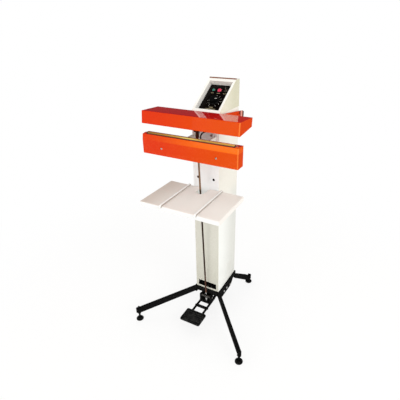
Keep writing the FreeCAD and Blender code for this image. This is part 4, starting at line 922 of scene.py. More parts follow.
class SEALER_OT_base(Operator):
    """Flat-bar frame, gussets and their bolts, four welded legs and levelling feet"""
    bl_idname = "sealer.base"
    bl_label = "Base"

    def execute(self, context):
        edge = settings().edges
        soften("base_frame", "frame_bar", "black", edge.bar)
        soften("gussets", "corner_gussets", "black", edge.bar)
        self.bolts()
        self.pin()
        for corner in ("front_left", "front_right", "rear_left", "rear_right"):
            leg = Piece("leg_bar_" + corner, "black").take("leg_" + corner)
            self.weld(leg, "leg_" + corner)
            leg.instead_of("leg_" + corner, edge=edge.bar * 0.8)
            self.foot(corner)
        return {"FINISHED"}

    def bolts(self):
        """Button-headed bolts through gusset and frame, with nuts inside."""
        head_height, nut_height = 5 * MM, 6 * MM
        head = screw_head(12 * MM, head_height, "hexagon")
        bolts = Piece("frame_bolts", "zinc")
        for low, high in solids_of("gusset_bolts"):
            middle = (low + high) / 2
            outward = RIGHT if middle.x > 0 else LEFT
            outer = Vector((high.x if middle.x > 0 else low.x, middle.y, middle.z))
            inner = Vector((low.x if middle.x > 0 else high.x, middle.y, middle.z))
            bolts.stamp(head, aim(outer - outward * head_height, outward))
            bolts.hexagon(aim(inner, outward), 13 * MM, nut_height, 7 * MM)
            reach = (outer - inner).length - head_height
            bolts.thread(aim(inner - outward * MM, outward), 7.8 * MM, 1.25 * MM,
                         reach, 0.5 * MM)
        bolts.instead_of("gusset_bolts", smooth=30)

    def pin(self):
        """The pedal's pivot pin with its chamfers and the grooves of its clips."""
        low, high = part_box("pedal_shaft")
        radius, length = (high.z - low.z) / 2, high.x - low.x
        land, clip, chamfer = 1.0 * MM, 1.1 * MM, 0.8 * MM
        half = [(radius - chamfer, 0.0), (radius, chamfer), (radius, land),
                (radius - chamfer, land), (radius - chamfer, land + clip), (radius, land + clip)]
        far = [(r, length - h) for r, h in reversed(half)]
        pin = Piece("pedal_pin", "zinc")
        pin.lathe(aim(Vector((low.x, PEDAL_PIN.y, PEDAL_PIN.z)), RIGHT), half + far)
        pin.instead_of("pedal_shaft", smooth=30)

    def weld(self, piece, leg):
        """A rippled bead round the end of the leg that meets the frame."""
        frame_low, frame_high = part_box("base_frame")
        gusset_low, gusset_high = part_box("gussets")
        planes = ((0, gusset_low.x), (0, gusset_high.x), (0, frame_low.x), (0, frame_high.x),
                  (1, frame_low.y), (1, frame_high.y))
        near = 0.02 * MM
        copy = welded_copy(leg)
        for edge in copy.edges:
            ends = [vertex.co.copy() for vertex in edge.verts]
            on_plane = any(all(abs(end[axis] - level) < near for end in ends)
                           for axis, level in planes)
            steps = int(edge.calc_length() / MM)
            if on_plane and steps > 4:
                points = [ends[0].lerp(ends[1], k / steps) for k in range(steps + 1)]
                piece.tube(points, lambda k: (1.5 + 0.35 * math.cos(k * 2.1)) * MM, 8)
        copy.free()

    def foot(self, corner):
        """A moulded foot with grip ribs on a threaded stud, and its lock nut."""
        low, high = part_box("foot_" + corner)
        middle = (low + high) / 2
        at = Matrix.Translation((middle.x, middle.y, 0.0))
        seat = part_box("leg_" + corner)[0].z
        radius, stud, pad = (high.x - low.x) / 2, 10 * MM, 12 * MM
        profile = [(radius - 2.0 * MM, 0.0), (radius - 0.4 * MM, 0.5 * MM), (radius, 1.6 * MM),
                   (radius, 4.2 * MM), (radius * 0.97, 5.4 * MM), (radius * 0.93, 5.2 * MM),
                   (radius * 0.91, 6.6 * MM), (radius * 0.84, 8.8 * MM),
                   (radius * 0.70, 10.8 * MM), (radius * 0.56, 11.8 * MM),
                   (stud / 2 + 1.0 * MM, pad), (stud / 2, pad)]
        foot = Piece("foot_pad_" + corner, "foot_rubber").lathe(at, profile, 40)
        ribs, rib_width = 20, 1.3 * MM
        for k in range(ribs):
            turned = at @ Matrix.Rotation(FULL_TURN * k / ribs, 4, "Z")
            foot.block((radius - 1.0 * MM, -rib_width / 2, 1.7 * MM),
                       (radius + 0.35 * MM, rib_width / 2, 4.1 * MM), turned)
        foot.wear("blacked")
        start = 11.5 * MM
        foot.thread(at @ Matrix.Translation((0, 0, start)), stud, 1.5 * MM,
                    high.z - start, 0.7 * MM)
        foot.hexagon(at @ Matrix.Translation((0, 0, seat - 7 * MM)), 17 * MM, 7 * MM, 9 * MM)
        foot.hexagon(at @ Matrix.Translation((0, 0, pad)), 14 * MM, 3 * MM, 9 * MM)
        foot.instead_of("foot_" + corner, smooth=30)


class SEALER_OT_column(Operator):
    """Folded column with pressed louvres, rear cover, slot bar, gland and transformer"""
    bl_idname = "sealer.column"
    bl_label = "Column"

    def execute(self, context):
        edge = settings().edges
        shell = Piece("column_sheet", "cream").take("column_shell")
        self.louvres(shell)
        shell.instead_of("column_shell", edge=edge.sheet)
        cover = Piece("rear_cover", "cream").take("column_back")
        cover.instead_of("column_back", edge=edge.sheet * 0.8)
        soften("foot_plate", "column_foot_plate", "black", edge.bar)
        self.screws()
        self.slot_bar()
        self.gland()
        self.transformer()
        soften("yoke_shaft", "yoke_pin", "orange", edge.small * 2)
        return {"FINISHED"}

    def louvres(self, shell):
        """A pressed hood over each of the side slots."""
        first, pitch, gap, count = 190 * MM, 14 * MM, 4 * MM, 5
        middle, half = 76 * MM, 33 * MM
        proud, wall, sunk, stations = 3.2 * MM, 1.0 * MM, 0.4 * MM, 12
        wall_x = 65 * MM
        for side in (-1, 1):
            for k in range(count):
                foot = first + k * pitch
                head, lip, rim = foot + gap, foot + gap * 0.7, foot + gap * 0.1
                rows = []
                for i in range(stations + 1):
                    u = 2 * i / stations - 1
                    swell = proud * math.sqrt(max(0.0, 1 - abs(u) ** 5)) + 0.02 * MM
                    y = middle + u * half
                    outline = [(-sunk, head + 4.5 * MM), (swell * 0.45, head + 2.6 * MM),
                               (swell * 0.9, lip), (swell, rim), (swell - wall * 0.6, rim),
                               (swell * 0.9 - wall, lip), (-sunk, head + 1.8 * MM)]
                    rows.append([Vector((side * (wall_x + x), y, z)) for x, z in outline])
                shell.skin(rows)

    def screws(self):
        """Blacked cross-headed screws in the column's front and plain ones in its cover."""
        height = 3 * MM
        head = screw_head(12 * MM, height, "cross")
        screws = Piece("front_screws", "black")
        for low, high in solids_of("column_screws"):
            middle = (low + high) / 2
            at = Vector((middle.x, low.y + height, middle.z))
            screws.stamp(head, aim(at, FRONT) @ Matrix.Rotation(0.5, 4, "Z"))
            screws.thread(aim(at, REAR), 5 * MM, 0.8 * MM, high.y - at.y, 0.35 * MM, 16)
        screws.instead_of("column_screws", smooth=30)
        head = screw_head(8 * MM, 2.2 * MM, "cross")
        rear = Piece("rear_cover_screws", "zinc")
        low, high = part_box("column_back")
        inset = 9 * MM
        for x in (low.x + inset, high.x - inset):
            for share in (0.04, 0.5, 0.96):
                at = Vector((x, high.y, low.z + share * (high.z - low.z)))
                rear.stamp(head, aim(at, REAR) @ Matrix.Rotation(share * 5, 4, "Z"))
        rear.done("column_back", smooth=30)

    def slot_bar(self):
        """The round bar behind the slot at the column's foot."""
        low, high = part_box("tie_bar")
        radius, length = (high.z - low.z) / 2, high.x - low.x
        groove = radius * 0.86
        profile = [(radius, 0.0), (radius, length * 0.30), (groove, length * 0.305),
                   (groove, length * 0.33), (radius, length * 0.335), (radius, length * 0.665),
                   (groove, length * 0.67), (groove, length * 0.695), (radius, length * 0.70),
                   (radius, length)]
        bar = Piece("slot_bar", "rusty")
        bar.lathe(aim(Vector((low.x, centre("tie_bar").y, centre("tie_bar").z)), RIGHT), profile)
        bar.instead_of("tie_bar", smooth=30)

    def gland(self):
        """The mains inlet's gland: hexagon, ribbed dome and clamping lips."""
        low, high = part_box("cable_gland")
        middle = (low + high) / 2
        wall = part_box("column_back")[1].y
        at = aim(Vector((middle.x, wall, middle.z)), REAR)
        inside = wall - low.y
        reach = high.y - wall
        gland = Piece("mains_gland", "gland")
        gland.hexagon(at, 22 * MM, 7 * MM, 14 * MM)
        gland.thread(at @ Matrix.Translation((0, 0, -inside)), 15.7 * MM, 1.5 * MM,
                     inside, 0.6 * MM)
        bore, rim = 3.75 * MM, 6.9 * MM
        gland.lathe(at, [(bore, 4 * MM), (9.9 * MM, 6.9 * MM), (9.7 * MM, 12 * MM),
                         (8.6 * MM, 17 * MM), (rim, reach - 0.6 * MM), (rim - 0.8 * MM, reach),
                         (bore + 0.5 * MM, reach), (bore, reach - 0.8 * MM), (bore, 4 * MM)],
                    36, capped=False)
        ribs = 16
        for k in range(ribs):
            turned = at @ Matrix.Rotation(FULL_TURN * k / ribs, 4, "Z")
            gland.block((9.0 * MM, -0.6 * MM, 7.2 * MM), (10.2 * MM, 0.6 * MM, 12.5 * MM), turned)
        gland.instead_of("cable_gland", smooth=30)

    def transformer(self):
        """Laminated core, copper winding and its taped ends."""
        core, coil = sorted(solids_of("transformer"), key=lambda box: box[0].z)[:2]
        transformer = Piece("transformer_block", "laminations").take("transformer")
        copper = 0.3 * MM
        for face in transformer.mesh.faces:
            middle = face.calc_center_median()
            outside = middle.y < core[0].y - copper or middle.y > core[1].y + copper
            if outside or (abs(middle.x) < coil[1].x - copper and coil[0].z < middle.z < coil[1].z):
                face.material_index = 1
        transformer.wear("winding")
        transformer.instead_of("transformer", edge=settings().edges.small)


class SEALER_OT_control_box(Operator):
    """Sloping control box with its sunk panel, dial, lamps, switch and timer board"""
    bl_idname = "sealer.control_box"
    bl_label = "Control box"

    def execute(self, context):
        edge = settings().edges
        soften("control_box", "control_housing", "box_cream", edge.sheet * 1.6)
        self.trim()
        self.panel()
        self.knob()
        self.lamp("lamp_red", "red_lens", 0.0, 21 * MM)
        self.lamp("lamp_green", "green_lens", GREEN_LAMP_X, 15 * MM)
        self.switch()
        self.board()
        return {"FINISHED"}

    def trim(self):
        """A thin brown strip along the box's top edge."""
        low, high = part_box("control_box")
        top_front, column_shift = 63.5 * MM, 56 * MM
        y = top_front + column_shift
        line = Piece("top_gasket", "trim")
        line.block((low.x + 0.6 * MM, y - 0.4 * MM, high.z - 0.6 * MM),
                   (high.x - 0.2 * MM, y + 4.0 * MM, high.z + 4.2 * MM))
        line.done("control_box", edge=0.3 * MM)

    def panel(self):
        """The black panel with its printed scale, numbers and plain rules."""
        plate = Piece("panel_plate", "panel").take("control_panel")
        plate.instead_of("control_panel", edge=settings().edges.small)
        print_marks = Piece("panel_print", "ink")
        ink, lift = 0.06 * MM, 0.0
        inner, outer, numeral_ring = 24.5 * MM, 27.5 * MM, 32.0 * MM
        first, last, count = 240.0, -60.0, 11
        for k in range(count):
            degrees = first + (last - first) * k / (count - 1)
            turned = ON_PANEL @ Matrix.Rotation(math.radians(degrees), 4, "Z")
            print_marks.block((inner, -0.35 * MM, lift), (outer, 0.35 * MM, ink), turned)
            spot = Vector((numeral_ring * math.cos(math.radians(degrees)),
                           numeral_ring * math.sin(math.radians(degrees)), lift))
            self.numeral(print_marks, str(k), spot, 5.0 * MM, ink)
        print_marks.wear("ink_dim")
        for x, width in ((GREEN_LAMP_X, 13 * MM), (0.0, 15 * MM), (SWITCH_X, 15 * MM)):
            print_marks.block((x - width / 2, LAMP_ROW - 17 * MM, lift),
                              (x + width / 2, LAMP_ROW - 15.2 * MM, ink), ON_PANEL)
        for drop, width in ((38 * MM, 18 * MM), (47 * MM, 44 * MM)):
            print_marks.block((-width / 2, -drop, lift),
                              (width / 2, -drop + 2.6 * MM, ink), ON_PANEL)
        print_marks.done("control_panel", smooth=20)

    @staticmethod
    def numeral(piece, text, spot, size, height):
        """One printed number, centred on its spot and flat on the panel."""
        curve = bpy.data.curves.new("numeral", "FONT")
        curve.body, curve.size, curve.extrude = text, size, height / 2
        curve.align_x, curve.align_y = "CENTER", "CENTER"
        stamp_curve(piece, curve, ON_PANEL @ Matrix.Translation(spot + UP * height / 2))

    def knob(self):
        """A fluted knob on its shaft, with a white pointer line."""
        knob = Piece("dial_knob", "knob")
        base, sides, flutes = 0.3 * MM, 144, 12
        shapes = [(21.6, 0.0, 0.0), (22.0, 0.4, 0.0), (21.8, 1.2, 0.0), (19.6, 3.4, 0.0),
                  (19.1, 4.0, 0.1), (18.9, 5.0, 1.2), (18.6, 9.0, 1.5), (18.0, 15.0, 1.5),
                  (17.4, 16.5, 1.1), (16.2, 17.0, 0.2), (13.0, 16.9, 0.0), (12.6, 16.3, 0.0),
                  (0.0, 16.2, 0.0)]
        rows = []
        for radius, height, flute in shapes:
            row = []
            for k in range(sides if radius else 1):
                turn = FULL_TURN * k / sides
                valley = max(0.0, math.cos(flutes * turn + math.pi)) ** 1.5
                reach = (radius - flute * valley) * MM
                row.append(ON_PANEL @ Vector((reach * math.cos(turn), reach * math.sin(turn),
                                              base + height * MM)))
            rows.append(row)
        knob.skin(rows)
        knob.wear("ink")
        for near, far, foot, top in ((7.5, 12.5, 16.2, 16.45), (13.2, 17.0, 16.7, 17.1)):
            knob.block((near * MM, -1.1 * MM, base + foot * MM),
                       (far * MM, 1.1 * MM, base + top * MM), ON_PANEL)
        knob.wear("bright")
        knob.lathe(ON_PANEL @ Matrix.Translation((0, 0, -15 * MM)),
                   [(3 * MM, 0.0), (3 * MM, 15.2 * MM)], 24)
        knob.instead_of("time_knob", smooth=32)

    def lamp(self, node, lens, x, diameter):
        """A lamp with a chromed bezel and a lens moulded in rings."""
        at = ON_PANEL @ Matrix.Translation((x, LAMP_ROW, 0.0))
        radius = diameter / 2
        lamp = Piece(node + "_unit", "chrome")
        throat = radius * 0.72
        lamp.lathe(at, [(throat, 0.0), (radius, 0.0), (radius, 1.0 * MM),
                        (radius * 0.97, 1.8 * MM), (radius * 0.90, 2.0 * MM),
                        (radius * 0.86, 1.6 * MM), (throat, 1.5 * MM), (throat, 0.0)],
                   40, capped=False)
        lamp.wear(lens)
        rim, rise = radius - 1.5 * MM, diameter * 0.28
        rings = 7
        profile = [(rim, 0.5 * MM), (rim, 1.6 * MM)]
        for k in range(rings):
            share = 1 - (k + 1) / (rings + 1)
            height = 2 * MM + rise * math.sqrt(1 - share * share)
            profile += [(rim * share + 0.25 * MM, height - 0.35 * MM), (rim * share, height)]
        lamp.lathe(at, profile + [(0.0, 2 * MM + rise)], 40, capped=False)
        lamp.wear("blacked")
        lamp.thread(at @ Matrix.Translation((0, 0, -15 * MM)), radius * 1.1, 1.0 * MM,
                    15.4 * MM, 0.4 * MM)
        lamp.instead_of(node, smooth=30)

    def switch(self):
        """The toggle switch: body, threaded bush, ring nut and bat lever."""
        at = ON_PANEL @ Matrix.Translation((SWITCH_X, LAMP_ROW, 0.0))
        body = Piece("toggle_body", "gland")
        body.block((-7 * MM, -12 * MM, -23.5 * MM), (7 * MM, 12 * MM, -3.6 * MM), at)
        body.wear("smoked")
        body.thread(at @ Matrix.Translation((0, 0, -3.5 * MM)), 11.4 * MM, 1.0 * MM,
                    7.0 * MM, 0.45 * MM)
        mouth = 2.6 * MM
        body.lathe(at, [(mouth, 1.0 * MM), (5.4 * MM, 1.0 * MM), (5.4 * MM, 5.6 * MM),
                        (5.0 * MM, 6.0 * MM), (4.2 * MM, 6.0 * MM), (mouth, 3.6 * MM),
                        (mouth, 1.0 * MM)], 32, capped=False)
        body.hexagon(at, 15 * MM, 2.5 * MM, 10.6 * MM)
        body.instead_of("switch_body", smooth=30)
        lever = Piece("toggle_lever", "smoked")
        pivot = Vector(joint("switch_toggle")["pos_m"])
        way = ON_PANEL.to_3x3() @ (Matrix.Rotation(math.radians(-11), 3, "X") @ UP)
        length, tip_radius = 17 * MM, 2.5 * MM
        profile = [(1.7 * MM, 0.0), (1.6 * MM, 3 * MM), (1.9 * MM, 9 * MM),
                   (tip_radius, length - 2 * MM), (tip_radius, length)]
        steps = 6
        for k in range(1, steps):
            turn = math.pi / 2 * k / steps
            profile.append((tip_radius * math.cos(turn), length + tip_radius * math.sin(turn)))
        lever.lathe(aim(pivot, way), profile + [(0.0, length + tip_radius)], 28)
        lever.instead_of("switch_lever", smooth=40)

    def board(self):
        """The timer board with its relay, control and terminal strip."""
        board = Piece("timer_unit", "board").take("timer_board")
        board.wear("gland")
        under = -21.6 * MM
        for face in board.mesh.faces:
            middle = ON_PANEL.inverted() @ face.calc_center_median()
            if middle.z < under:
                face.material_index = 1
        board.instead_of("timer_board", edge=settings().edges.small)


class SEALER_OT_lower_jaw(Operator):
    """Fixed jaw with its heating bar, film, end blocks, supports and lead"""
    bl_idname = "sealer.lower_jaw"
    bl_label = "Lower jaw"

    def execute(self, context):
        edge = settings().edges
        soften("lower_jaw_body", "lower_jaw_sheet", "orange", edge.sheet)
        soften("lower_jaw_ends", "lower_jaw_end_plates", "orange", edge.sheet * 1.2)
        soften("heater_bar", "heater_profile", "aluminium", edge.small)
        self.film()
        self.end_blocks()
        soften("jaw_support", "jaw_arms", "cream", edge.bar)
        self.fasteners()
        self.lead()
        return {"FINISHED"}

    def film(self):
        """The film over the bar: it follows the crown, ripples and turns under its edges."""
        low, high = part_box("cover_strip")
        middle, half = (low.y + high.y) / 2, (high.y - low.y) / 2
        stations, steps, thick = 80, 9, 0.25 * MM
        shoulder = high.z - half * 0.5
        rise = high.z - shoulder
        film = Piece("sealing_film", "film")
        rows = []
        for i in range(stations + 1):
            x = low.x + (high.x - low.x) * i / stations
            ripple = 0.12 * MM * math.sin(i * 1.7) * math.sin(i * 0.37)
            outline = [(-half, low.z), (-half, shoulder)]
            for k in range(1, steps):
                turn = math.pi * k / steps
                outline.append((-half * math.cos(turn), shoulder + rise * math.sin(turn)))
            outline += [(half, shoulder), (half, low.z)]
            inner = [(y * 0.95, z - thick * (1.5 if z > shoulder else 0.0))
                     for y, z in reversed(outline)]
            rows.append([Vector((x, middle + y, z + (ripple if z >= shoulder else 0.0)))
                         for y, z in outline + inner])
        film.skin(rows)
        film.instead_of("cover_strip", smooth=40)

    def end_blocks(self):
        """Low painted blocks that clamp the ends of the bar, each with a slotted screw."""
        head = screw_head(8 * MM, 1.8 * MM, "slot")
        blocks = Piece("clamp_blocks", "orange")
        clamp = 2.5 * MM
        for low, high in solids_of("end_blocks"):
            middle = (low + high) / 2
            blocks.block(low, (high.x, high.y, low.z + clamp))
            blocks.wear("zinc")
            at = Vector((middle.x, middle.y, low.z + clamp))
            blocks.stamp(head, Matrix.Translation(at) @ Matrix.Rotation(middle.x * 5, 4, "Z"))
            blocks.wear("orange")
        blocks.instead_of("end_blocks", smooth=30)

    def fasteners(self):
        """Slotted front screws and the nuts that hold jaw and arms."""
        height = 2.6 * MM
        head = screw_head(9 * MM, height, "slot")
        screws = Piece("jaw_front_screws", "zinc")
        for low, high in solids_of("lower_jaw_screws"):
            middle = (low + high) / 2
            at = Vector((middle.x, low.y + height, middle.z))
            screws.stamp(head, aim(at, FRONT) @ Matrix.Rotation(middle.x * 9, 4, "Z"))
            screws.thread(aim(at, REAR), 5 * MM, 0.8 * MM, high.y - at.y, 0.35 * MM, 16)
        screws.instead_of("lower_jaw_screws", smooth=30)
        nuts = Piece("jaw_arm_nuts", "zinc")
        for low, high in solids_of("jaw_support_bolts"):
            middle = (low + high) / 2
            width, height = high.z - low.z, high.y - low.y
            at = aim(Vector((middle.x, low.y, middle.z)), REAR)
            nuts.hexagon(at, width * 0.98, height, width * 0.5)
            nuts.thread(at, width * 0.52, 1.2 * MM, height, 0.4 * MM, 16)
        nuts.instead_of("jaw_support_bolts", smooth=30)

    def lead(self):
        """The heater's sheathed lead and its two grommets."""
        lead = Piece("heater_cable", "sheath")
        low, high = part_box("heater_lead")
        x = (low.x + high.x) / 2
        radius = (high.x - low.x) / 2
        top, foot = high.z - radius, low.z + radius
        bow = x - 30 * MM
        curve = bpy.data.curves.new("lead", "CURVE")
        curve.dimensions = "3D"
        curve.bevel_depth, curve.bevel_resolution, curve.use_fill_caps = radius, 3, True
        route = ((x, high.y, top), (x, high.y - 12 * MM, top), (x, high.y - 22 * MM, top),
                 (bow, high.y - 40 * MM, top - 6 * MM), (bow, low.y + 42 * MM, foot + 6 * MM),
                 (x, low.y + 24 * MM, foot), (x, low.y + 12 * MM, foot), (x, low.y, foot))
        spline = curve.splines.new("NURBS")
        spline.points.add(len(route) - 1)
        for point, place in zip(spline.points, route):
            point.co = (*place, 1.0)
        spline.order_u, spline.use_endpoint_u, spline.resolution_u = 3, True, 8
        stamp_curve(lead, curve, Matrix())
        lead.instead_of("heater_lead", smooth=60)
        grommets = Piece("lead_bushes", "sheath").take("lead_grommets")
        grommets.instead_of("lead_grommets", edge=settings().edges.small * 3)


class SEALER_OT_upper_jaw(Operator):
    """Swinging jaw: long cover, press bar with its silicone, yoke and tie channel"""
    bl_idname = "sealer.upper_jaw"
    bl_label = "Upper jaw"

    def execute(self, context):
        edge = settings().edges
        soften("upper_cover", "jaw_cover", "orange", edge.sheet)
        soften("silicone_strip", "silicone_pad", "silicone", edge.small * 3)
        soften("press_bar", "press_profile", "aluminium", edge.small * 2)
        soften("yoke", "yoke_strap", "orange_tail", edge.bar * 0.7)
        soften("tie_channel", "clevis_channel", "black", edge.bar * 0.6)
        self.pin()
        return {"FINISHED"}

    def pin(self):
        """The clevis pin with its chamfered head."""
        low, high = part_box("clevis_pin")
        middle = (low + high) / 2
        radius, head, length = 4 * MM, 6.5 * MM, high.x - low.x
        at = aim(Vector((low.x, middle.y, middle.z)), RIGHT)
        chamfer, collar = 0.6 * MM, length - 3 * MM
        pin = Piece("clevis_pin_turned", "zinc")
        pin.lathe(at, [(radius - chamfer, 0.0), (radius, chamfer), (radius, collar),
                       (head, collar), (head, length - chamfer), (head - chamfer, length)], 28)
        pin.instead_of("clevis_pin", smooth=30)


class SEALER_OT_rod(Operator):
    """Browned pull rod with its eye, its bright threaded end, trunnion and nuts"""
    bl_idname = "sealer.rod"
    bl_label = "Pull rod"

    def execute(self, context):
        edge = settings().edges
        soften("rod_eye", "rod_eye_end", "browned", edge.small * 2)
        self.rod()
        soften("trunnion", "trunnion_pin", "dark_steel", edge.small * 2)
        nuts = Piece("rod_lock_nuts", "blacked")
        nut_height = 6.5 * MM
        for low, high in solids_of("rod_nuts"):
            middle = (low + high) / 2
            nuts.wear("blacked" if middle.z > centre("trunnion").z else "bright")
            nuts.hexagon(aim(middle - ROD_WAY * nut_height / 2, ROD_WAY), 13 * MM,
                         nut_height, 7.6 * MM)
        nuts.instead_of("rod_nuts", smooth=30)
        return {"FINISHED"}

    def rod(self):
        """The long bar, browned above and bright and threaded below."""
        radius = 4 * MM
        low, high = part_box("pull_rod")
        top = ROD_TOP + ROD_WAY * 14 * MM
        length = (high.z - low.z - radius * 0.06) / abs(ROD_WAY.z)
        threaded = 56 * MM
        rod = Piece("pull_bar", "browned")
        rod.lathe(aim(top, ROD_WAY), [(radius, 0.0), (radius, length - threaded),
                                      (radius - 0.5 * MM, length - threaded + 0.8 * MM)], 28)
        rod.wear("bright")
        rod.thread(aim(top + ROD_WAY * (length - threaded), ROD_WAY), radius * 2, 1.25 * MM,
                   threaded - 0.5 * MM, 0.55 * MM)
        rod.instead_of("pull_rod", smooth=30)


class SEALER_OT_pedal(Operator):
    """Ladder-shaped pedal with its rung, plate and ribbed rubber tread"""
    bl_idname = "sealer.pedal"
    bl_label = "Pedal"

    def execute(self, context):
        edge = settings().edges
        soften("pedal_bar_left", "pedal_side_left", "black", edge.bar)
        soften("pedal_bar_right", "pedal_side_right", "black", edge.bar)
        self.web(edge)
        self.rung(edge)
        soften("pad_plate", "pad_carrier", "black", edge.bar * 0.6)
        self.tread()
        return {"FINISHED"}

    def web(self, edge):
        """The cross plate: its apron stands before the frame, its floor runs under the trunnion."""
        low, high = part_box("pedal_web")
        web = Piece("pedal_cross_plate", "black").take("pedal_web")
        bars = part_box("pedal_bar_right")[1].x
        thick, hem = 2 * MM, 0.1 * MM
        foot, top = high.z - 14 * MM, high.z + 15 * MM
        web.block((low.x, low.y, foot), (high.x, low.y + thick, top))
        web.block((-bars, low.y, foot), (bars, low.y + thick - hem, top - hem))
        web.block((low.x, low.y - 27 * MM, low.z), (high.x, low.y + thick, low.z + 3.5 * MM))
        web.instead_of("pedal_web", edge=edge.small)

    def rung(self, edge):
        """The rung's sleeve between the side bars, over its through bolt."""
        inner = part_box("pedal_bar_right")[0].x
        middle = centre("pedal_rung")
        rung = Piece("pedal_rung_bar", "black").take("pedal_rung")
        radius = 7.5 * MM
        start = Vector((-inner, middle.y, middle.z))
        rung.lathe(aim(start, RIGHT), [(radius, 0.0), (radius, 2 * inner)])
        rung.instead_of("pedal_rung", edge=edge.small * 2)

    def tread(self):
        """A rubber tread: framed rim, rounded ribs across it and rows of small studs."""
        low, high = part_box("pedal_tread")
        tread = Piece("rubber_tread", "tread_rubber")
        floor = high.z - 1.8 * MM
        corner, steps = 8 * MM, 6
        outline = []
        for sx, sy, start in ((1, -1, -0.25), (1, 1, 0.0), (-1, 1, 0.25), (-1, -1, 0.5)):
            cx = (high.x if sx > 0 else low.x) - sx * corner
            cy = (high.y if sy > 0 else low.y) - sy * corner
            for k in range(steps + 1):
                turn = FULL_TURN * (start + 0.25 * k / steps)
                outline.append((cx + corner * math.cos(turn), cy + corner * math.sin(turn)))
        middle = (low + high) / 2
        half = (high - low) / 2
        rows = []
        for inset, z in ((0.0, low.z), (0.0, high.z - 0.7 * MM), (0.7 * MM, high.z),
                         (4.2 * MM, high.z), (5.0 * MM, floor)):
            share_x, share_y = 1 - inset / half.x, 1 - inset / half.y
            rows.append([Vector((middle.x + (x - middle.x) * share_x,
                                 middle.y + (y - middle.y) * share_y, z)) for x, y in outline])
        tread.skin(rows)
        ribs, studs, margin = 7, 12, 6 * MM
        pitch = (high.y - low.y) / ribs
        reach = half.x - margin
        foot, flank, crown = floor - 0.2 * MM, floor + 0.9 * MM, high.z - 0.1 * MM
        stud = [(1.5 * MM, 0.0), (1.1 * MM, 0.6 * MM), (0.0, 0.75 * MM)]
        for k in range(ribs):
            y = low.y + (k + 0.5) * pitch
            wide = pitch / 2 - 1.6 * MM
            if k in (0, ribs - 1):
                wide *= 0.55
            profile = [(-wide, foot), (-wide, flank), (-wide * 0.7, crown),
                       (wide * 0.7, crown), (wide, flank), (wide, foot)]
            tread.skin([[Vector((x, y + dy, z)) for dy, z in profile] for x in (-reach, reach)])
            stagger = (pitch if k % 2 else -pitch) / 8
            for n in range(studs):
                x = -reach + (n + 0.5) * 2 * reach / studs + stagger
                at = Matrix.Translation((x, y, high.z - 0.15 * MM))
                tread.lathe(at, stud, 8, capped=False)
        tread.instead_of("pedal_tread", smooth=40)


class SEALER_OT_table(Operator):
    """Folded work table with its guide beads, brackets and bolts"""
    bl_idname = "sealer.table"
    bl_label = "Work table"

    def execute(self, context):
        edge = settings().edges
        soften("work_table", "table_sheet", "table", edge.sheet * 0.8)
        beads = Piece("guide_beads", "bead").take("table_guides")
        beads.instead_of("table_guides", smooth=60)
        soften("table_brackets", "table_angle_brackets", "cream", edge.bar * 0.6)
        self.bolts()
        return {"FINISHED"}

    def bolts(self):
        """Hexagon bolts through the brackets and the column's front."""
        bolts = Piece("bracket_bolts", "zinc")
        head, nut = 5.5 * MM, 6.5 * MM
        for low, high in solids_of("table_bolts"):
            middle = (low + high) / 2
            start = Vector((middle.x, low.y, middle.z))
            length = high.y - low.y
            bolts.hexagon(aim(start, REAR), 13 * MM, head)
            bolts.hexagon(aim(start + REAR * (length - nut), REAR), 13 * MM, nut, 7.4 * MM)
            bolts.thread(aim(start + REAR * head, REAR), 7.9 * MM, 1.25 * MM,
                         length - head, 0.5 * MM, 18)
        bolts.instead_of("table_bolts", smooth=30)


class SEALER_OT_spring(Operator):
    """Close-wound return spring hooked between its anchor and the yoke"""
    bl_idname = "sealer.spring"
    bl_label = "Return spring"

    def execute(self, context):
        soften("spring_anchor", "spring_bracket", "zinc", settings().edges.small * 2)
        low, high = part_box("return_spring")
        middle = (low + high) / 2
        wire, hook = 1.5 * MM, 6 * MM
        radius = (high.x - low.x) / 2 - wire
        body_low, body_high = low.z + 2 * hook + wire, high.z - 2 * hook - wire
        turns = round((body_high - body_low) / (2 * wire))
        steps, hook_steps = 20, 26
        spring = Piece("coil_spring", "zinc")
        coil = []
        for k in range(turns * steps + 1):
            turn = FULL_TURN * k / steps
            z = body_low + (body_high - body_low) * k / (turns * steps)
            coil.append(Vector((middle.x + radius * math.cos(turn),
                                middle.y + radius * math.sin(turn), z)))
        spring.tube(coil, wire, 8)
        for z, way in ((low.z + wire + hook, 1), (high.z - wire - hook, -1)):
            loop = []
            for k in range(hook_steps + 1):
                turn = math.radians(-235 + 290 * k / hook_steps)
                loop.append(Vector((middle.x + hook * math.cos(turn), middle.y,
                                    z + way * hook * math.sin(turn))))
            end = Vector((middle.x + radius * 0.98, middle.y, z + way * (hook + wire)))
            loop.append(end.lerp(loop[-1], 0.4))
            spring.tube(loop + [end], wire, 10)
        piece = spring.instead_of("return_spring", smooth=60, ride=False)
        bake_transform(piece)
        return {"FINISHED"}


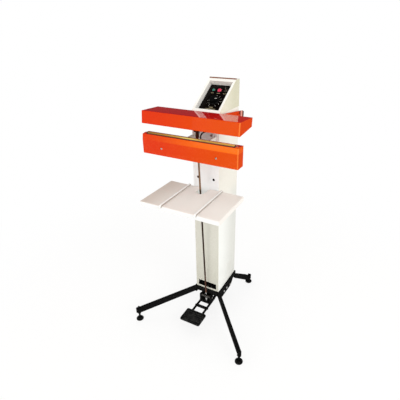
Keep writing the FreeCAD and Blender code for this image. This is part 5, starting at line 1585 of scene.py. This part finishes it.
class SEALER_OT_stage(Operator):
    """White studio: paper floor, walls, two soft lights and the camera"""
    bl_idname = "sealer.stage"
    bl_label = "Stage"

    def execute(self, context):
        self.floor()
        self.walls()
        studio = settings().studio
        self.light("key_light", (3.0, -1.5, 2.6), 1.9, studio.key, (1.0, 0.995, 0.98))
        self.light("fill_light", (-1.0, -3.2, 1.12), 1.3, studio.fill, (1.0, 0.97, 0.93))
        self.camera()
        return {"FINISHED"}

    def floor(self):
        """A large round sheet of paper under the feet."""
        paper = bmesh.new()
        bmesh.ops.create_circle(paper, cap_ends=True, segments=96, radius=9.0)
        mesh = bpy.data.meshes.new("paper_floor")
        paper.to_mesh(mesh)
        paper.free()
        mesh.materials.append(finish("floor"))
        floor = bpy.data.objects.new("paper_floor", mesh)
        bpy.context.scene.collection.objects.link(floor)

    def walls(self):
        """The world: white where it is seen, dimmer where it only lights."""
        studio = settings().studio
        world = bpy.data.worlds.new("studio_walls")
        bpy.context.scene.world = world
        look = Finish("studio_walls", world)
        seen, mirrored, through = light_paths(look)
        backdrop = (*studio.backdrop, 1.0)
        ceiling = look.axis("Z").between(0.0, 0.2)
        dimness = 1.0 - mirrored * (0.80 + 0.17 * ceiling)
        tint = look.mix(dimness.clamped(), (0.0, 0.0, 0.0), (1.0, 0.985, 0.955))
        lighting = look.node("ShaderNodeBackground", values={0: tint, 1: studio.ambient})
        white = look.node("ShaderNodeBackground", values={0: backdrop, 1: 1.0})
        direct = (seen + through).clamped()
        walls = look.node("ShaderNodeMixShader", values={0: direct, 1: lighting, 2: white})
        look.end(walls, "ShaderNodeOutputWorld")

    def light(self, name, place, size, power, colour):
        """A square soft light turned to the middle of the machine."""
        lamp = bpy.data.lights.new(name, "AREA")
        lamp.size, lamp.energy, lamp.color = size, power, colour
        holder = bpy.data.objects.new(name, lamp)
        target = Vector((0.0, 0.0, 0.65))
        holder.matrix_world = aim(Vector(place), Vector(place) - target)
        bpy.context.scene.collection.objects.link(holder)

    def camera(self):
        """The photograph's viewpoint."""
        camera = bpy.data.cameras.new("camera")
        camera.lens, camera.sensor_width = settings().studio.lens, 36.0
        camera.sensor_fit = "HORIZONTAL"
        camera.shift_x, camera.shift_y = -0.0327, -0.0238
        camera.clip_start, camera.clip_end = 0.05, 50.0
        holder = bpy.data.objects.new("camera", camera)
        across = Vector((0.88626, 0.46317, -0.00367))
        above = Vector((-0.19784, 0.38571, 0.90116))
        matrix = Matrix((across, above, across.cross(above))).transposed().to_4x4()
        matrix.translation = Vector((0.6914, -1.2917, 1.3980))
        holder.matrix_world = matrix
        bpy.context.scene.collection.objects.link(holder)
        bpy.context.scene.camera = holder


OPERATORS = (SEALER_OT_base, SEALER_OT_column, SEALER_OT_control_box, SEALER_OT_lower_jaw,
             SEALER_OT_upper_jaw, SEALER_OT_rod, SEALER_OT_pedal, SEALER_OT_table,
             SEALER_OT_spring, SEALER_OT_stage)


class SEALER_PT_sidebar(Panel):
    """Lists the sealer's settings and the operators that build it"""
    bl_label = "Bag sealer"
    bl_space_type = "VIEW_3D"
    bl_region_type = "UI"
    bl_category = "Sealer"

    def draw(self, context):
        sealer = context.scene.sealer
        for group in (sealer.colours, sealer.edges, sealer.studio):
            box = self.layout.box()
            for name in group.__annotations__:
                box.prop(group, name)
        for operator in OPERATORS:
            self.layout.operator(operator.bl_idname)


CLASSES = (EnamelColours, EdgeSizes, StudioSettings, SealerSettings, *OPERATORS,
           SEALER_PT_sidebar)


def register():
    for entry in CLASSES:
        bpy.utils.register_class(entry)
    bpy.types.Scene.sealer = PointerProperty(type=SealerSettings)


def unregister():
    del bpy.types.Scene.sealer
    for entry in reversed(CLASSES):
        bpy.utils.unregister_class(entry)


def main():
    """Builds every group round the frame."""
    register()
    bpy.context.scene.view_settings.view_transform = "Standard"
    for operator in OPERATORS:
        group, name = operator.bl_idname.split(".")
        getattr(getattr(bpy.ops, group), name)()


if __name__ == "__main__":
    main()
